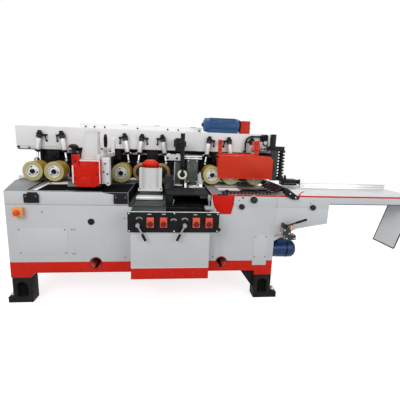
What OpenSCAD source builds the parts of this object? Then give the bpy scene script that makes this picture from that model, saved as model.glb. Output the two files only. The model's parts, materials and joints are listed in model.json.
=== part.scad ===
// Four sided moulder: a floor machine that planes and profiles timber on four sides.
// X runs along the timber path, Y away from the operator, Z up, floor at zero.
// The origin is the centre of the four floor anchor holes. All sizes in millimetres.

/* [Base] */
// Length of the base casting
body_l = 1680; // [1640:10:1720]
// Depth of the base casting
body_d = 760; // [740:10:800]
// Height of the seam between base and bed
base_top_z = 641; // [630:1:650]
// Height of the lower edge of the red skirt
skirt_z = 200; // [190:1:210]
// Height of the red skirt band
skirt_h = 72; // [66:1:76]
// Depth that the skirt drops at the four corners
skirt_drop = 30; // [24:1:36]
// Length of a dropped skirt corner
corner_l = 121; // [118:1:140]
// Wall of the castings
wall = 12; // [8:1:14]
// Bore radius of the lifting tubes
lift_r = 33; // [28:1:36]
// Height of the lifting tubes
lift_z = 263; // [258:1:268]

/* [Feet] */
// How far the left floor anchors stand outside the casting
anchor_left = 11; // [8:1:14]
// How far the right floor anchors stand outside the casting
anchor_right = 31; // [26:1:34]
// Radius of a floor anchor hole
anchor_r = 9; // [7:0.5:11]
// Width of a foot across the machine
foot_w = 90; // [80:2:100]
// Height of a foot's floor flange
flange_h = 38; // [30:1:44]

/* [Bed] */
// Height of the bed's ground top
bed_z = 722; // [715:1:730]
// How far the bed runs behind the machine's middle line
bed_back = 160; // [158:1:168]
// Front of the narrow bed strip behind the cross slide
strip_y = 70; // [66:1:76]
// Distance between the bed and a roller, as the machine stands empty
pass_gap = 8; // [7:0.5:12]
// Height of the back guide fence
fence_h = 28; // [20:1:30]

/* [Feed] */
// Radius of a feed roller
roller_r = 70; // [66:0.5:70]
// Width of a full feed roller
roller_w = 137; // [120:1:138]
// Pitch of two rollers on one drive
pair_pitch = 145; // [145:1:150]
// Travel of a roller along its air cylinder
press_travel = 12; // [8:1:12]
// Sideways lean of an air cylinder per unit of height
lean = 0.15; // [0.1:0.01:0.16]
// Radius of a roller shaft
shaft_r = 15; // [12:0.5:18]
// Radius of a cylinder rod
rod_r = 8; // [6:0.5:10]
// Radius of a cylinder barrel
barrel_r = 17.5; // [15:0.5:20]

/* [Beam] */
// Left end of the beam
beam_x0 = -1025; // [-1040:5:-1010]
// Right end of the beam
beam_x1 = 985; // [980:5:1000]
// Clear height between the bed and the beam
beam_gap = 248; // [246:1:258]
// Height of the beam
beam_h = 150; // [140:1:160]
// Depth of the beam
beam_d = 190; // [180:2:200]
// Radius of a lifting column
column_r = 40; // [34:1:44]

/* [Spindles] */
// Radius of the cutters on the lying spindles
cutter_r = 60; // [54:1:62]
// Radius of the near side cutter
near_cutter_r = 50; // [44:1:52]
// Radius of the lying spindles
spindle_r = 20; // [16:1:20]
// Radius of the near side spindle
near_spindle_r = 12; // [10:0.5:14]

/* [Infeed] */
// Length of the infeed table
infeed_l = 1020; // [980:10:1050]
// Thickness of the infeed table's plate
infeed_t = 30; // [28:1:34]
// Depth that the infeed table can be lowered
infeed_travel = 8; // [4:1:8]

/* [Controls] */
// Width of a switch box
switch_w = 42; // [38:1:50]
// Height of a switch box
switch_h = 58; // [54:1:66]
// Radius of a stop button
button_r = 15; // [10:0.5:17]
// Length of a lock lever
lever_l = 104; // [80:2:110]

/* [Hidden] */
$fn = 48;
run_gap = 0.05;
slide_gap = 0.3;
part_gap = 0.2;
anchor_x = body_l + anchor_left + anchor_right;
anchor_y = body_d - foot_w;
body_x0 = anchor_left - anchor_x / 2;
body_x1 = body_x0 + body_l;
front_y = -body_d / 2;
rear_y = front_y + body_d;
skirt_top_z = skirt_z + skirt_h;
corner_z = skirt_z - skirt_drop;
housing_x0 = -101;
housing_x1 = 377;
housing_d = 110;
housing_y = front_y - housing_d;
housing_top_z = base_top_z - 10;
housing_wall = 8;
lift_x = [-332, 478];
lift_wall = 7;
roller_z = bed_z + pass_gap + roller_r;
well_x0 = -125;
well_x1 = 395;
slot_x0 = 245;
bed_left_out = 153;
bed_left_back = body_x0 - bed_left_out;
bed_left_y = strip_y + 19;
fence_y = 142;
fence_t = 15;
beam_y = 200;
beam_y1 = beam_y + beam_d;
beam_z = bed_z + beam_gap;
beam_top = beam_z + beam_h;
under_plate_t = 20;
valve_top_z = beam_z + 90;
lean_deg = atan(lean);
eye_out = 36.5;
eye_z = roller_z + 70;
rod_y = 176;
barrel_t0 = 78;
barrel_l = beam_z + 72 - eye_z - barrel_t0;
rod_l = barrel_t0 + barrel_l / 2 + 5;
cap_l = 33;
gland_l = 12;
cap_r = barrel_r + 3;
head_y0 = 142;
head_y1 = 198;
narrow_y = 90;
mid_drive_x = -8;
drives = [-765.5, mid_drive_x - 2 * pair_pitch + 0.5, mid_drive_x, 521.5, 710.5];
half_pitch = pair_pitch / 2;
// Each feed unit: roller centre, side of its drive, front face
units = [
    [drives[0] - half_pitch, -1, 0],
    [drives[0] + half_pitch, 1, 0],
    [drives[1] + half_pitch, 1, 0],
    [drives[2] - half_pitch, -1, narrow_y],
    [drives[2] + half_pitch, 1, narrow_y],
    [drives[3] - half_pitch, -1, 0],
    [drives[3] + half_pitch, 1, 0],
    [drives[4] + half_pitch, 1, 0]
];
column_x = [-560, 620];
column_y = 300;
top_spindle_x = drives[1] - 87.5;
top_spindle_z = bed_z + 13 + cutter_r;
bottom_spindle_x = 320;
bottom_spindle_z = bed_z - 0.5 - cutter_r;
far_x = 215;
far_y = 212;
far_cutter_r = far_y - fence_y - 8;
near_x = -7;
near_y = -8;
carriage_z = base_top_z + slide_gap;
carriage_t = 17;
riser_h = 30;
hood_z = carriage_z + carriage_t + riser_h;
hood_h = 162;
carriage_out = 150;
carriage_in = 15;
motor_bore_r = 30;
press_x = 220;
press_z = bed_z + 86;
press_axle_r = 8;
press_wheel_r = 34;
hanger_x = 1000;
hanger_y = 60;
hanger_rod_r = 14;
spring_r = 24;
spring_wire_r = 4;
spring_turns = 8;
spring_z0 = bed_z + 68;
spring_z1 = beam_z + 30;
guard_x0 = 485;
guard_x1 = 895;
guard_pin_y = 103;
guard_pin_z = beam_z - 13;
guard_pin_r = 4;
post_x = [505, 802];
post_w = 30;
infeed_x0 = body_x1 + 0.5;
infeed_x1 = infeed_x0 + infeed_l;
bracket_z = base_top_z + 11;
bracket_l = 362;
bracket_knee = 147;
bracket_low_z = base_top_z - 232;
bracket_knee_z = base_top_z - 147;
bracket_end_z = base_top_z - 109;
boss_r = 20;
boss_x = [body_x1 + 120, body_x1 + 290];
boss_y = [-250, 50];
panel_x0 = -117;
panel_x1 = 430;
panel_t = 12;
panel_y = housing_y - panel_t;
panel_h = 127;
panel_z1 = housing_top_z + 1;
panel_z0 = panel_z1 - panel_h;
switch_x = [17, 95, 289, 366];
switch_d = 20;
switch_y = panel_y - switch_d;
switch_z = panel_z0 + 65;
button_z = switch_z - 8;
button_depth = 16;
button_travel = 4;
estop_x = body_x0 + 82;
estop_z = base_top_z - 43;
estop_d = 32;
estop_y = front_y - estop_d;
estop_r = 15;
estop_stem_r = 9;
estop_travel = 5;
lever_x = [-56, 221];
lever_side = [1, -1];
lever_z = panel_z0 + 48;
lever_rest = 26;
pump_x = body_x1 + 50;
pump_z = base_top_z - 111;
pump_d = 50;
pump_y = front_y - pump_d;

// Colours of the finishes
white = [0.80, 0.81, 0.82];
red = [0.80, 0.15, 0.08];
black = [0.10, 0.10, 0.11];
steel = [0.66, 0.67, 0.68];
grey = [0.45, 0.46, 0.47];
iron = [0.22, 0.23, 0.24];
blue = [0.13, 0.30, 0.55];
amber = [0.76, 0.62, 0.22];
orange = [0.93, 0.60, 0.30];

// Box between two corners
module span(x, y, z) {
    translate([x[0], y[0], z[0]])
        cube([x[1] - x[0], y[1] - y[0], z[1] - z[0]]);
}

// Cylinder along Y from y0 to y1
module along_y(x, z, y0, y1, r) {
    translate([x, y1, z]) rotate([90, 0, 0]) cylinder(h = y1 - y0, r = r);
}

// Cylinder along X from x0 to x1
module along_x(y, z, x0, x1, r) {
    translate([x0, y, z]) rotate([0, 90, 0]) cylinder(h = x1 - x0, r = r);
}

// Outline in XZ drawn out along Y from y0 to y1
module plate_y(points, y0, y1) {
    translate([0, y1, 0]) rotate([90, 0, 0]) linear_extrude(y1 - y0) polygon(points);
}

// Closed hollow box with walls of thickness t
module hollow(x, y, z, t) {
    difference() {
        span(x, y, z);
        span([x[0] + t, x[1] - t], [y[0] + t, y[1] - t], [z[0] + t, z[1] - t]);
    }
}

// Places its children on the leaning axis of a feed unit's cylinder, at the rod eye
module on_cylinder(unit) {
    translate([unit[0] + unit[1] * eye_out, rod_y, eye_z])
        rotate([0, -unit[1] * lean_deg, 0]) children();
}

module lift_cuts() {
    for (x = lift_x) along_y(x, lift_z, front_y - 1, rear_y + 1, lift_r + lift_wall);
}

module base_frame() {
    slot_y0 = near_y - carriage_out - motor_bore_r - 6;
    slot_y1 = near_y + carriage_in + motor_bore_r + 6;
    bearing_y = [150, 290];
    color(white) difference() {
        union() {
            hollow([body_x0, body_x1], [front_y, rear_y], [skirt_top_z, base_top_z], wall);
            span([bottom_spindle_x - 48, bottom_spindle_x + 48], bearing_y, [base_top_z - wall, bed_z - 2]);
            translate([far_x, far_y, base_top_z - wall]) cylinder(h = 60, r = spindle_r + 20);
        }
        span([near_x - motor_bore_r - 8, near_x + motor_bore_r + 8], [slot_y0, slot_y1],
            [base_top_z - wall - 1, base_top_z + 1]);
        span([bottom_spindle_x - cutter_r - 8, bottom_spindle_x + cutter_r + 8], [-6, bearing_y[0] - 4],
            [base_top_z - wall - 1, base_top_z + 1]);
        along_y(bottom_spindle_x, bottom_spindle_z, bearing_y[0] - 1, bearing_y[1] + 1, spindle_r + run_gap);
        translate([far_x, far_y, base_top_z - wall - 1]) cylinder(h = 80, r = spindle_r + run_gap);
        lift_cuts();
    }
}

module base_skirts() {
    sheet = 6;
    color(red) difference() {
        union() {
            hollow([body_x0, body_x1], [front_y, rear_y], [skirt_z, skirt_top_z], sheet);
            hollow([housing_x0, housing_x1], [housing_y, front_y], [skirt_z, skirt_top_z], sheet);
            for (x = [body_x0, body_x1 - corner_l])
                for (y = [front_y, rear_y - foot_w])
                    span([x, x + corner_l], [y, y + foot_w], [corner_z, skirt_z + sheet]);
        }
        lift_cuts();
    }
}

// One cast foot on the left, at the front
module foot(outer_x) {
    hole_x = -anchor_x / 2;
    y0 = -anchor_y / 2 - foot_w / 2;
    inner_x = outer_x + corner_l - 5;
    arch_r = 34;
    arch_x = (outer_x + inner_x) / 2;
    difference() {
        union() {
            span([hole_x - 16, inner_x], [y0, y0 + foot_w], [0, flange_h]);
            span([outer_x, inner_x], [y0, y0 + foot_w], [flange_h, corner_z]);
        }
        translate([hole_x, -anchor_y / 2, -1]) cylinder(h = flange_h + 2, r = anchor_r);
        span([arch_x - arch_r, arch_x + arch_r], [y0 - 1, y0 + 26], [flange_h, 106]);
        along_y(arch_x, 106, y0 - 1, y0 + 26, arch_r);
    }
}

module feet() {
    color(iron) for (v = [0, 1]) mirror([0, v, 0]) {
        foot(body_x0 + 5);
        mirror([1, 0, 0]) foot(-body_x1);
    }
}

module lifting_tubes() {
    color(red) for (x = lift_x) difference() {
        along_y(x, lift_z, front_y, rear_y, lift_r + lift_wall);
        along_y(x, lift_z, front_y - 1, rear_y + 1, lift_r);
    }
}

module front_housing() {
    color(white)
        hollow([housing_x0, housing_x1], [housing_y, front_y], [skirt_top_z, housing_top_z], housing_wall);
}

module machine_bed() {
    left = [
        [body_x0, front_y], [well_x0, front_y], [well_x0, strip_y], [slot_x0, strip_y],
        [slot_x0, bed_back], [bed_left_back, bed_back], [bed_left_back, bed_left_y]
    ];
    color(steel) translate([0, 0, base_top_z]) {
        linear_extrude(bed_z - base_top_z) polygon(left);
        span([well_x1, body_x1], [front_y, bed_back], [0, bed_z - base_top_z]);
    }
}

module guide_fence() {
    gap = far_cutter_r + 14;
    color(grey) {
        span([bed_left_back, far_x - gap], [fence_y, fence_y + fence_t], [bed_z, bed_z + fence_h]);
        span([bottom_spindle_x + cutter_r + 15, body_x1], [fence_y, fence_y + fence_t], [bed_z, bed_z + fence_h]);
    }
}

module infeed_bracket() {
    knee_x = body_x1 + bracket_knee;
    end_x = body_x1 + bracket_l;
    outer = [
        [body_x1, bracket_low_z], [knee_x, bracket_knee_z], [end_x, bracket_end_z],
        [end_x, bracket_z], [body_x1, bracket_z]
    ];
    inner = [
        [body_x1 + wall, bracket_low_z + 2.4 * wall], [knee_x, bracket_knee_z + 1.2 * wall],
        [end_x - wall, bracket_end_z + wall], [end_x - wall, bracket_z - wall], [body_x1 + wall, bracket_z - wall]
    ];
    boss_h = bed_z - infeed_t + 14 - bracket_z;
    color(white) {
        difference() {
            plate_y(outer, front_y, bed_back);
            plate_y(inner, front_y + wall, bed_back - wall);
        }
        for (x = boss_x) for (y = boss_y) translate([x, y, bracket_z]) cylinder(h = boss_h, r = boss_r);
    }
}

module spindle_cover() {
    x = well_x1 + 1;
    low_z = bed_z - 129;
    mid_z = bed_z - 70;
    outline = [
        [x, bed_z], [x + 150, bed_z], [x + 144, mid_z + 1], [x + 131, low_z],
        [x + 49, low_z], [x + 14, mid_z]
    ];
    color(red) plate_y(outline, front_y - 4, front_y);
}

module front_fittings() {
    block_w = 84;
    block_h = 54;
    tab_h = 10;
    block_x = [body_x0 + 115, well_x0 - 87];
    block_z = bed_z - 69;
    plug_x = lift_x[0] - 21;
    plug_z = base_top_z - 105;
    // Each adjuster cap: place along the machine, height, depth, radius
    caps = [
        [well_x1 + 199, base_top_z + 3, 16, 18],
        [well_x1 + 276, base_top_z + 49, 18, 22],
        [body_x1 + 246, base_top_z + 3, 16, 18]
    ];
    color(black) {
        for (x = block_x) {
            span([x, x + block_w], [front_y - 14, front_y], [block_z, block_z + block_h]);
            span([x + 20, x + block_w - 8], [front_y - 8, front_y], [block_z + block_h, block_z + block_h + tab_h]);
        }
        along_y(plug_x, plug_z, front_y - 6, front_y, 20);
        for (cap = caps) along_y(cap[0], cap[1], front_y - cap[2], front_y, cap[3]);
    }
}

module control_panel() {
    color(black) {
        span([panel_x0, panel_x1], [panel_y, housing_y], [panel_z0, panel_z1]);
        along_x(housing_y + 10, panel_z0 + 12, panel_x1 - 20, panel_x1 + 14, 10);
    }
}

module switch_boxes() {
    color(orange) {
        for (x = switch_x) difference() {
            span([x - switch_w / 2, x + switch_w / 2], [switch_y, panel_y],
                [switch_z - switch_h / 2, switch_z + switch_h / 2]);
            along_y(x, button_z, switch_y - 1, switch_y + 8 + button_travel + 2, button_r + slide_gap);
        }
        difference() {
            span([estop_x - 27, estop_x + 27], [estop_y, front_y], [estop_z - 27, estop_z + 27]);
            along_y(estop_x, estop_z, estop_y - 1, estop_y + 20, estop_stem_r + slide_gap);
        }
    }
}

module stop_button(i) {
    color([0.45, 0.08, 0.08])
        along_y(switch_x[i - 1], button_z, switch_y - 8, switch_y + 8, button_r);
}

module estop_button() {
    color(red) {
        along_y(estop_x, estop_z, estop_y - 24, estop_y - estop_travel - 1, estop_r);
        along_y(estop_x, estop_z, estop_y - 7, estop_y + 13, estop_stem_r);
    }
}

module lock_lever(i) {
    x = lever_x[i - 1];
    side = lever_side[i - 1];
    grip_l = 46;
    color(black) {
        along_y(x, lever_z, panel_y - 26, panel_y - slide_gap, 12);
        translate([x, panel_y - 18, lever_z]) rotate([0, 180 - side * lever_rest, 0]) {
            cylinder(h = lever_l, r = 5);
            translate([0, 0, lever_l - grip_l]) cylinder(h = grip_l, r = 8);
        }
    }
}

module lift_columns() {
    color(steel) for (x = column_x) translate([x, column_y, base_top_z]) {
        cylinder(h = beam_top - base_top_z - 10, r = column_r);
        cylinder(h = 20, r = column_r + 30);
    }
}

module lower_motor() {
    y = front_y + 80;
    z = skirt_top_z + 58;
    color(blue) {
        along_x(y, z, body_x1, body_x1 + 12, 66);
        along_x(y, z, body_x1 + 12, body_x1 + 150, 58);
        translate([body_x1 + 150, y, z]) rotate([0, 90, 0]) cylinder(h = 26, r1 = 58, r2 = 40);
        span([body_x1 + 40, body_x1 + 110], [y - 30, y + 30], [z + 40, z + 76]);
    }
}

module pump_body() {
    color(grey) {
        span([pump_x - 12, pump_x + 42], [pump_y, front_y], [pump_z - 65, pump_z - 18]);
        span([pump_x + 7, pump_x + 79], [pump_y, front_y], [pump_z - 98, pump_z - 65]);
        along_y(pump_x, pump_z, pump_y, front_y, 9);
        span([pump_x - 9, pump_x + 9], [pump_y, front_y], [pump_z - 20, pump_z]);
    }
}

module pump_lever() {
    color(black) {
        along_y(pump_x, pump_z, pump_y - 14, pump_y - slide_gap, 11);
        translate([pump_x, pump_y - 7, pump_z]) rotate([0, 72, 0]) {
            cylinder(h = 135, r = 5);
            translate([0, 0, 70]) cylinder(h = 65, r = 8);
        }
    }
}

module infeed_table() {
    skirt = 14;
    bottom_z = bed_z - infeed_t;
    fence_x0 = infeed_x0 + 299.5;
    socket_h = 14 + infeed_travel + 2;
    color(steel) difference() {
        union() {
            span([infeed_x0, infeed_x1], [front_y, bed_back], [bottom_z, bed_z]);
            span([infeed_x0, infeed_x1], [front_y, front_y + skirt], [bottom_z - 28, bottom_z + 1]);
            span([infeed_x0, infeed_x1], [bed_back - skirt, bed_back], [bottom_z - 28, bottom_z + 1]);
            span([fence_x0, infeed_x1 - 20], [-45, -30], [bed_z - 1, bed_z + 38]);
        }
        for (x = boss_x) for (y = boss_y)
            translate([x, y, bottom_z - 1]) cylinder(h = socket_h + 1, r = boss_r + slide_gap);
    }
}

module end_panel() {
    top_z = bed_z - infeed_t;
    x = infeed_x1 - 16;
    low_z = skirt_top_z + 73;
    sheet = 12;
    lean_x = 0.3 * (top_z - low_z);
    outline = [[x - sheet - lean_x, low_z], [x - lean_x, low_z], [x, top_z], [x - sheet, top_z]];
    color(white) plate_y(outline, front_y + 16, front_y + 232);
}

module beam() {
    channel_x = [-609, 400];
    color(white) difference() {
        union() {
            hollow([beam_x0, beam_x1], [beam_y, beam_y1], [beam_z, beam_top], 10);
            for (x = column_x) translate([x, column_y, beam_z]) cylinder(h = beam_h, r = column_r + 12);
            span(channel_x, [beam_y1 - 1, beam_y1 + 30], [beam_z + 90, beam_top + 41]);
            span([beam_x0, column_x[0] - column_r - 30], [beam_y + 4, beam_y1 - 4], [beam_z - under_plate_t, beam_z + 1]);
            span([851, 903], [beam_y - 50, beam_y + 1], [beam_z + 20, valve_top_z]);
        }
        for (x = column_x) translate([x, column_y, beam_z - 1])
            cylinder(h = beam_h + 2, r = column_r + slide_gap);
    }
}

module feed_gearboxes() {
    color(iron) for (x = drives) {
        top_z = x < column_x[0] ? beam_z - under_plate_t : beam_z;
        span([x - 44, x + 44], [beam_y + 12, beam_y + 96], [beam_z - 90, top_z]);
    }
    case_y = [column_y + column_r + 10, beam_y1 - 4];
    case_z = beam_z - 165;
    color(iron) {
        span([drives[0] - 154, drives[0] + 128], case_y, [case_z, beam_z - under_plate_t]);
        span([drives[1] - 160, drives[4] + 140], case_y, [case_z, beam_z]);
    }
}

module air_cylinders() {
    color(steel) for (unit = units) on_cylinder(unit) {
        difference() {
            translate([0, 0, barrel_t0]) cylinder(h = barrel_l, r = barrel_r);
            translate([0, 0, barrel_t0 - 1]) cylinder(h = barrel_l + 2, r = rod_r + slide_gap);
        }
        difference() {
            translate([0, 0, barrel_t0 - gland_l]) cylinder(h = gland_l - part_gap, r = cap_r);
            translate([0, 0, barrel_t0 - gland_l - 1]) cylinder(h = gland_l + 2, r = rod_r + slide_gap);
        }
        translate([0, 0, barrel_t0 + barrel_l + part_gap]) {
            cylinder(h = cap_l, r = cap_r);
            span([-12, 12], [0, beam_y - rod_y], [4, cap_l - 4]);
        }
    }
}

module air_hoses() {
    bend = beam_y - rod_y;
    elbow_r = 6;
    t = barrel_t0 + barrel_l + cap_l / 2;
    arch_r = 56;
    hose_r = 7;
    hose_x = 736;
    hose_y = beam_y - 25;
    run_z = valve_top_z + 40;
    color(black) {
        for (unit = units) {
            x = unit[0] + unit[1] * (eye_out - t * sin(lean_deg) - cap_r - 1);
            translate([x, beam_y, eye_z + t * cos(lean_deg)])
                mirror([unit[1] > 0 ? 1 : 0, 0, 0])
                    rotate([0, 0, -90]) rotate_extrude(angle = 90) translate([bend, 0]) circle(r = elbow_r);
        }
        span([hose_x - 9, hose_x + 9], [hose_y - 9, beam_y], [beam_z + 4, beam_z + 16]);
        translate([hose_x, hose_y, beam_z + 15]) cylinder(h = run_z - arch_r - beam_z - 15, r = hose_r);
        translate([hose_x + arch_r, hose_y, run_z - arch_r])
            rotate([90, 0, 0]) rotate([0, 0, 90])
                rotate_extrude(angle = 90) translate([arch_r, 0]) circle(r = hose_r);
        along_x(hose_y, run_z, hose_x + arch_r, 863, hose_r);
        span([862, 914], [hose_y - 23, beam_y], [valve_top_z + part_gap, valve_top_z + 52]);
    }
}

module feed_motor() {
    y = 320;
    z = beam_top + 66;
    color(blue) {
        along_x(y, z, 410, 700, 54);
        along_x(y, z, 699, 714, 44);
        span([440, 690], [y - 40, y + 40], [beam_top, z]);
        along_x(y, z, 390, 410, 16);
    }
    color(red) span([714 + part_gap, 792], [y - 46, y + 46], [beam_top, z + 40]);
}

module top_spindle_housing() {
    quill_y = [145, 335];
    arm_x = [top_spindle_x + 63, top_spindle_x + 81];
    hood_top = bed_z + 191;
    color(white) {
        difference() {
            union() {
                along_y(top_spindle_x, top_spindle_z, quill_y[0], quill_y[1], 42);
                span([top_spindle_x - 42, top_spindle_x + 42], [beam_y + 5, 330], [top_spindle_z, beam_z]);
            }
            along_y(top_spindle_x, top_spindle_z, quill_y[0] - 1, quill_y[1] + 1, spindle_r + run_gap);
        }
        span(arm_x, [-320, beam_y], [hood_top, hood_top + 30]);
        span([arm_x[0] - 6, arm_x[1] + 6], [beam_y - 12, beam_y], [hood_top, beam_z + 70]);
    }
}

// Lofted box from a rectangle at z0 to a smaller one at z1
module taper(x0, y0, z0, x1, y1, z1) {
    hull() {
        span(x0, y0, [z0, z0 + 1]);
        span(x1, y1, [z1 - 1, z1]);
    }
}

module top_hood() {
    sheet = 4;
    x = [top_spindle_x - 81, top_spindle_x - 36, top_spindle_x + 85];
    y = [-335, -12, 136];
    z = [bed_z + 23, bed_z + 156, bed_z + 191];
    duct_z = z[2] + 177;
    rear_x = x[2] - 6;
    duct_x = [x[1] + 1, x[2] - 24];
    duct_y = [-290, -174];
    mouth_x = [duct_x[0] + 24, duct_x[1] - 2];
    mouth_y = [duct_y[0] + 23, duct_y[1] - 23];
    corner = [38, 22];
    color(red) {
        difference() {
            union() {
                span([x[1], x[2]], [y[0], y[1]], [z[0], z[2]]);
                span([x[1], rear_x], [y[1], y[2]], [z[0], z[2]]);
                span([x[0], x[1]], [y[0], y[2]], [z[0], z[1]]);
                span([x[0], x[0] + 40], [y[0], y[0] + 36], [z[1], z[2] + 30]);
            }
            span([x[1] - 1, rear_x - sheet], [y[0] + sheet, y[2] - sheet], [z[0] - 1, z[2] - sheet]);
            span([x[0] + sheet, x[1]], [y[0] + sheet, y[2] - sheet], [z[0] - 1, z[1] - sheet]);
            along_y(top_spindle_x, top_spindle_z, y[2] - 10, y[2] + 1, spindle_r + 10);
            along_y(x[0] + 17, z[2] - 7, y[0] - 1, y[0] + 30, 9);
            span([duct_x[0] + 4, duct_x[1] - 10], [duct_y[0] + 10, duct_y[1] - 10], [z[2] - 10, z[2] + 1]);
            plate_y([[x[0] - 1, z[0] - 1], [x[0] + corner[0], z[0] - 1], [x[0] - 1, z[0] + corner[1]]],
                y[0] - 1, y[2] + 1);
            plate_y([[x[2] + 1, z[0] - 1], [x[2] + 1, z[0] + corner[1]], [x[2] - corner[0], z[0] - 1]],
                y[0] - 1, y[2] + 1);
        }
    }
    color(grey) difference() {
        taper(duct_x, duct_y, z[2], mouth_x, mouth_y, duct_z);
        taper([duct_x[0] + 4, duct_x[1] - 4], [duct_y[0] + 4, duct_y[1] - 4], z[2] - 1,
            [mouth_x[0] + 4, mouth_x[1] - 4], [mouth_y[0] + 4, mouth_y[1] - 4], duct_z + 1);
    }
}

module guard_posts() {
    color(red) {
        for (x = post_x) {
            span([x, x + post_w], [106, 120], [guard_pin_z - 12, beam_z + 98]);
            span([x + post_w - 12, x + post_w], [119, beam_y], [beam_z + 60, beam_z + 90]);
        }
        along_x(guard_pin_y, guard_pin_z, post_x[0] + 2, post_x[1] + post_w - 2, guard_pin_r);
    }
}

module roller_guard() {
    sheet = 4;
    flange_z = guard_pin_z - 4;
    notch = 5;
    corner = 31;
    color(red) difference() {
        union() {
            span([guard_x0, guard_x1], [-60, -60 + sheet], [bed_z + 63, flange_z]);
            span([guard_x0, guard_x1], [-60, 92], [flange_z - sheet, flange_z]);
            span([post_x[0] + post_w + notch, post_x[1] - notch], [91, guard_pin_y], [flange_z - sheet, flange_z]);
            along_x(guard_pin_y, guard_pin_z, post_x[0] + post_w + notch, post_x[1] - notch, guard_pin_r + 4);
        }
        along_x(guard_pin_y, guard_pin_z, guard_x0, guard_x1, guard_pin_r + run_gap);
        translate([guard_x1, 16, flange_z]) rotate([0, 45, 0]) cube([corner, 200, corner], center = true);
        for (x = post_x)
            span([x - notch, x + post_w + notch], [80, 93], [flange_z - 10, flange_z + 1]);
    }
}

module pressure_hangers() {
    bar_w = 15;
    shoe_x = [hanger_x + 14, hanger_x + 131];
    shoe_z = bed_z + 10;
    shoe_top = bed_z + 55;
    rod_z = spring_z0 - 24;
    rail_z = [press_z + 114, press_z + 129];
    color(black) {
        span([press_x - bar_w, press_x + bar_w], [-55, -25], [press_z - 22, beam_top - 20]);
        span([press_x - bar_w, press_x + bar_w], [-26, beam_y], [beam_z + 30, beam_z + 80]);
        along_y(press_x, press_z, -90, -54, press_axle_r);
        for (z = rail_z) along_x(-40, z, press_x, press_x + 143, 5);
        span([press_x + 35, press_x + 115], [-44, -38], [bed_z + 26, rail_z[0] + 8]);
        span([905, hanger_x + 16], [hanger_y - 16, beam_y], [spring_z1, spring_z1 + 30]);
        span([905, 943], [hanger_y - 15, hanger_y + 15], [spring_z1 + 29, beam_top]);
        span([917, 972], [hanger_y - 10, hanger_y + 2], [rod_z - 2, spring_z1 + 1]);
        translate([hanger_x, hanger_y, rod_z]) cylinder(h = spring_z1 + 1 - rod_z, r = hanger_rod_r);
        translate([hanger_x, hanger_y, rod_z]) cylinder(h = spring_z0 - rod_z, r = 30);
        span(shoe_x, [hanger_y - 40, hanger_y + 40], [shoe_z, shoe_top]);
        translate([shoe_x[1] - 1, hanger_y, shoe_z + 24]) rotate([0, 90, 0]) cylinder(h = 37, r1 = 9, r2 = 23);
    }
}

// Helix of the visible spring, one unbroken tube
spring_steps = 8 * spring_turns;
spring_sides = 6;
spring_pitch = (spring_z1 - spring_z0 - 4 * spring_wire_r) / spring_turns;
function spring_point(i) =
    let (a = 360 * i / 8)
    [
        hanger_x + spring_r * cos(a),
        hanger_y + spring_r * sin(a),
        spring_z0 + 2 * spring_wire_r + spring_pitch * i / 8
    ];
spring_path = concat(
    [[hanger_x + spring_r, hanger_y, spring_z0]],
    [for (i = [0 : spring_steps]) spring_point(i)],
    [[hanger_x + spring_r, hanger_y, spring_z1]]
);
// Least gap between two neighbouring turns, measured on the points of the helix
spring_gap = min([for (i = [1 : spring_steps]) for (j = [i + 5 : 1 : spring_steps + 1])
    norm(spring_path[i] - spring_path[j])]) - 2 * spring_wire_r;
echo(least_spring_gap_mm = spring_gap);
function ring(p, q, s) =
    let (d = (q - p) / norm(q - p), u = cross(d, [0, 0, 1]), n = norm(u) < 0.01 ? [1, 0, 0] : u / norm(u))
    let (b = cross(n, d))
    [for (k = [0 : spring_sides - 1]) s + spring_wire_r * (cos(360 * k / spring_sides) * n
        + sin(360 * k / spring_sides) * b)];

module hanger_spring() {
    last = len(spring_path) - 1;
    n = spring_sides;
    flat = [for (k = [0 : n - 1]) spring_wire_r * [cos(360 * k / n), -sin(360 * k / n), 0]];
    points = [for (i = [0 : last]) each
        (i == 0 || i == last ? [for (f = flat) spring_path[i] + f]
        : ring(spring_path[i - 1], spring_path[i + 1], spring_path[i]))];
    sides = [for (i = [0 : last - 1]) for (k = [0 : n - 1]) each [
        [i * n + k, i * n + (k + 1) % n, (i + 1) * n + k],
        [i * n + (k + 1) % n, (i + 1) * n + (k + 1) % n, (i + 1) * n + k]
    ]];
    ends = [for (k = [1 : n - 2]) each [[0, k + 1, k], [last * n, last * n + k, last * n + k + 1]]];
    color(black) polyhedron(points, concat(sides, ends));
}

module press_wheel() {
    color(white) difference() {
        along_y(press_x, press_z, -84, -60, press_wheel_r);
        along_y(press_x, press_z, -85, -54, press_axle_r + run_gap);
        along_y(press_x, press_z, -85, -79, press_wheel_r - 14);
    }
}

module spindle_carriage() {
    color(grey) difference() {
        union() {
            span([near_x - 88, near_x + 88], [near_y - 197, near_y + 48], [carriage_z, hood_z - riser_h]);
            span([near_x - 78, near_x + 78], [near_y - 92, near_y + 43], [carriage_z, hood_z]);
            translate([near_x, near_y, 480]) cylinder(h = hood_z - riser_h - 480, r = motor_bore_r);
        }
        translate([near_x, near_y, 479]) cylinder(h = 230, r = near_spindle_r + run_gap);
    }
}

module spindle_hood() {
    half_w = 80;
    back_y = near_y + 43;
    cavity_r = near_cutter_r + 6;
    color(white) difference() {
        union() {
            span([near_x - half_w, near_x + half_w], [near_y - 62, back_y], [hood_z, hood_z + hood_h - 6]);
            translate([near_x, near_y - 40, hood_z]) cylinder(h = hood_h, r = 62);
            span([near_x - half_w - 6, near_x + half_w + 6], [near_y - 100, back_y], [hood_z, hood_z + 12]);
        }
        translate([near_x, near_y, hood_z - 1]) cylinder(h = hood_h - 40, r = cavity_r);
        span([near_x - cavity_r, near_x + cavity_r], [near_y, back_y + 1], [hood_z - 1, hood_z + hood_h - 41]);
    }
}

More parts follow.
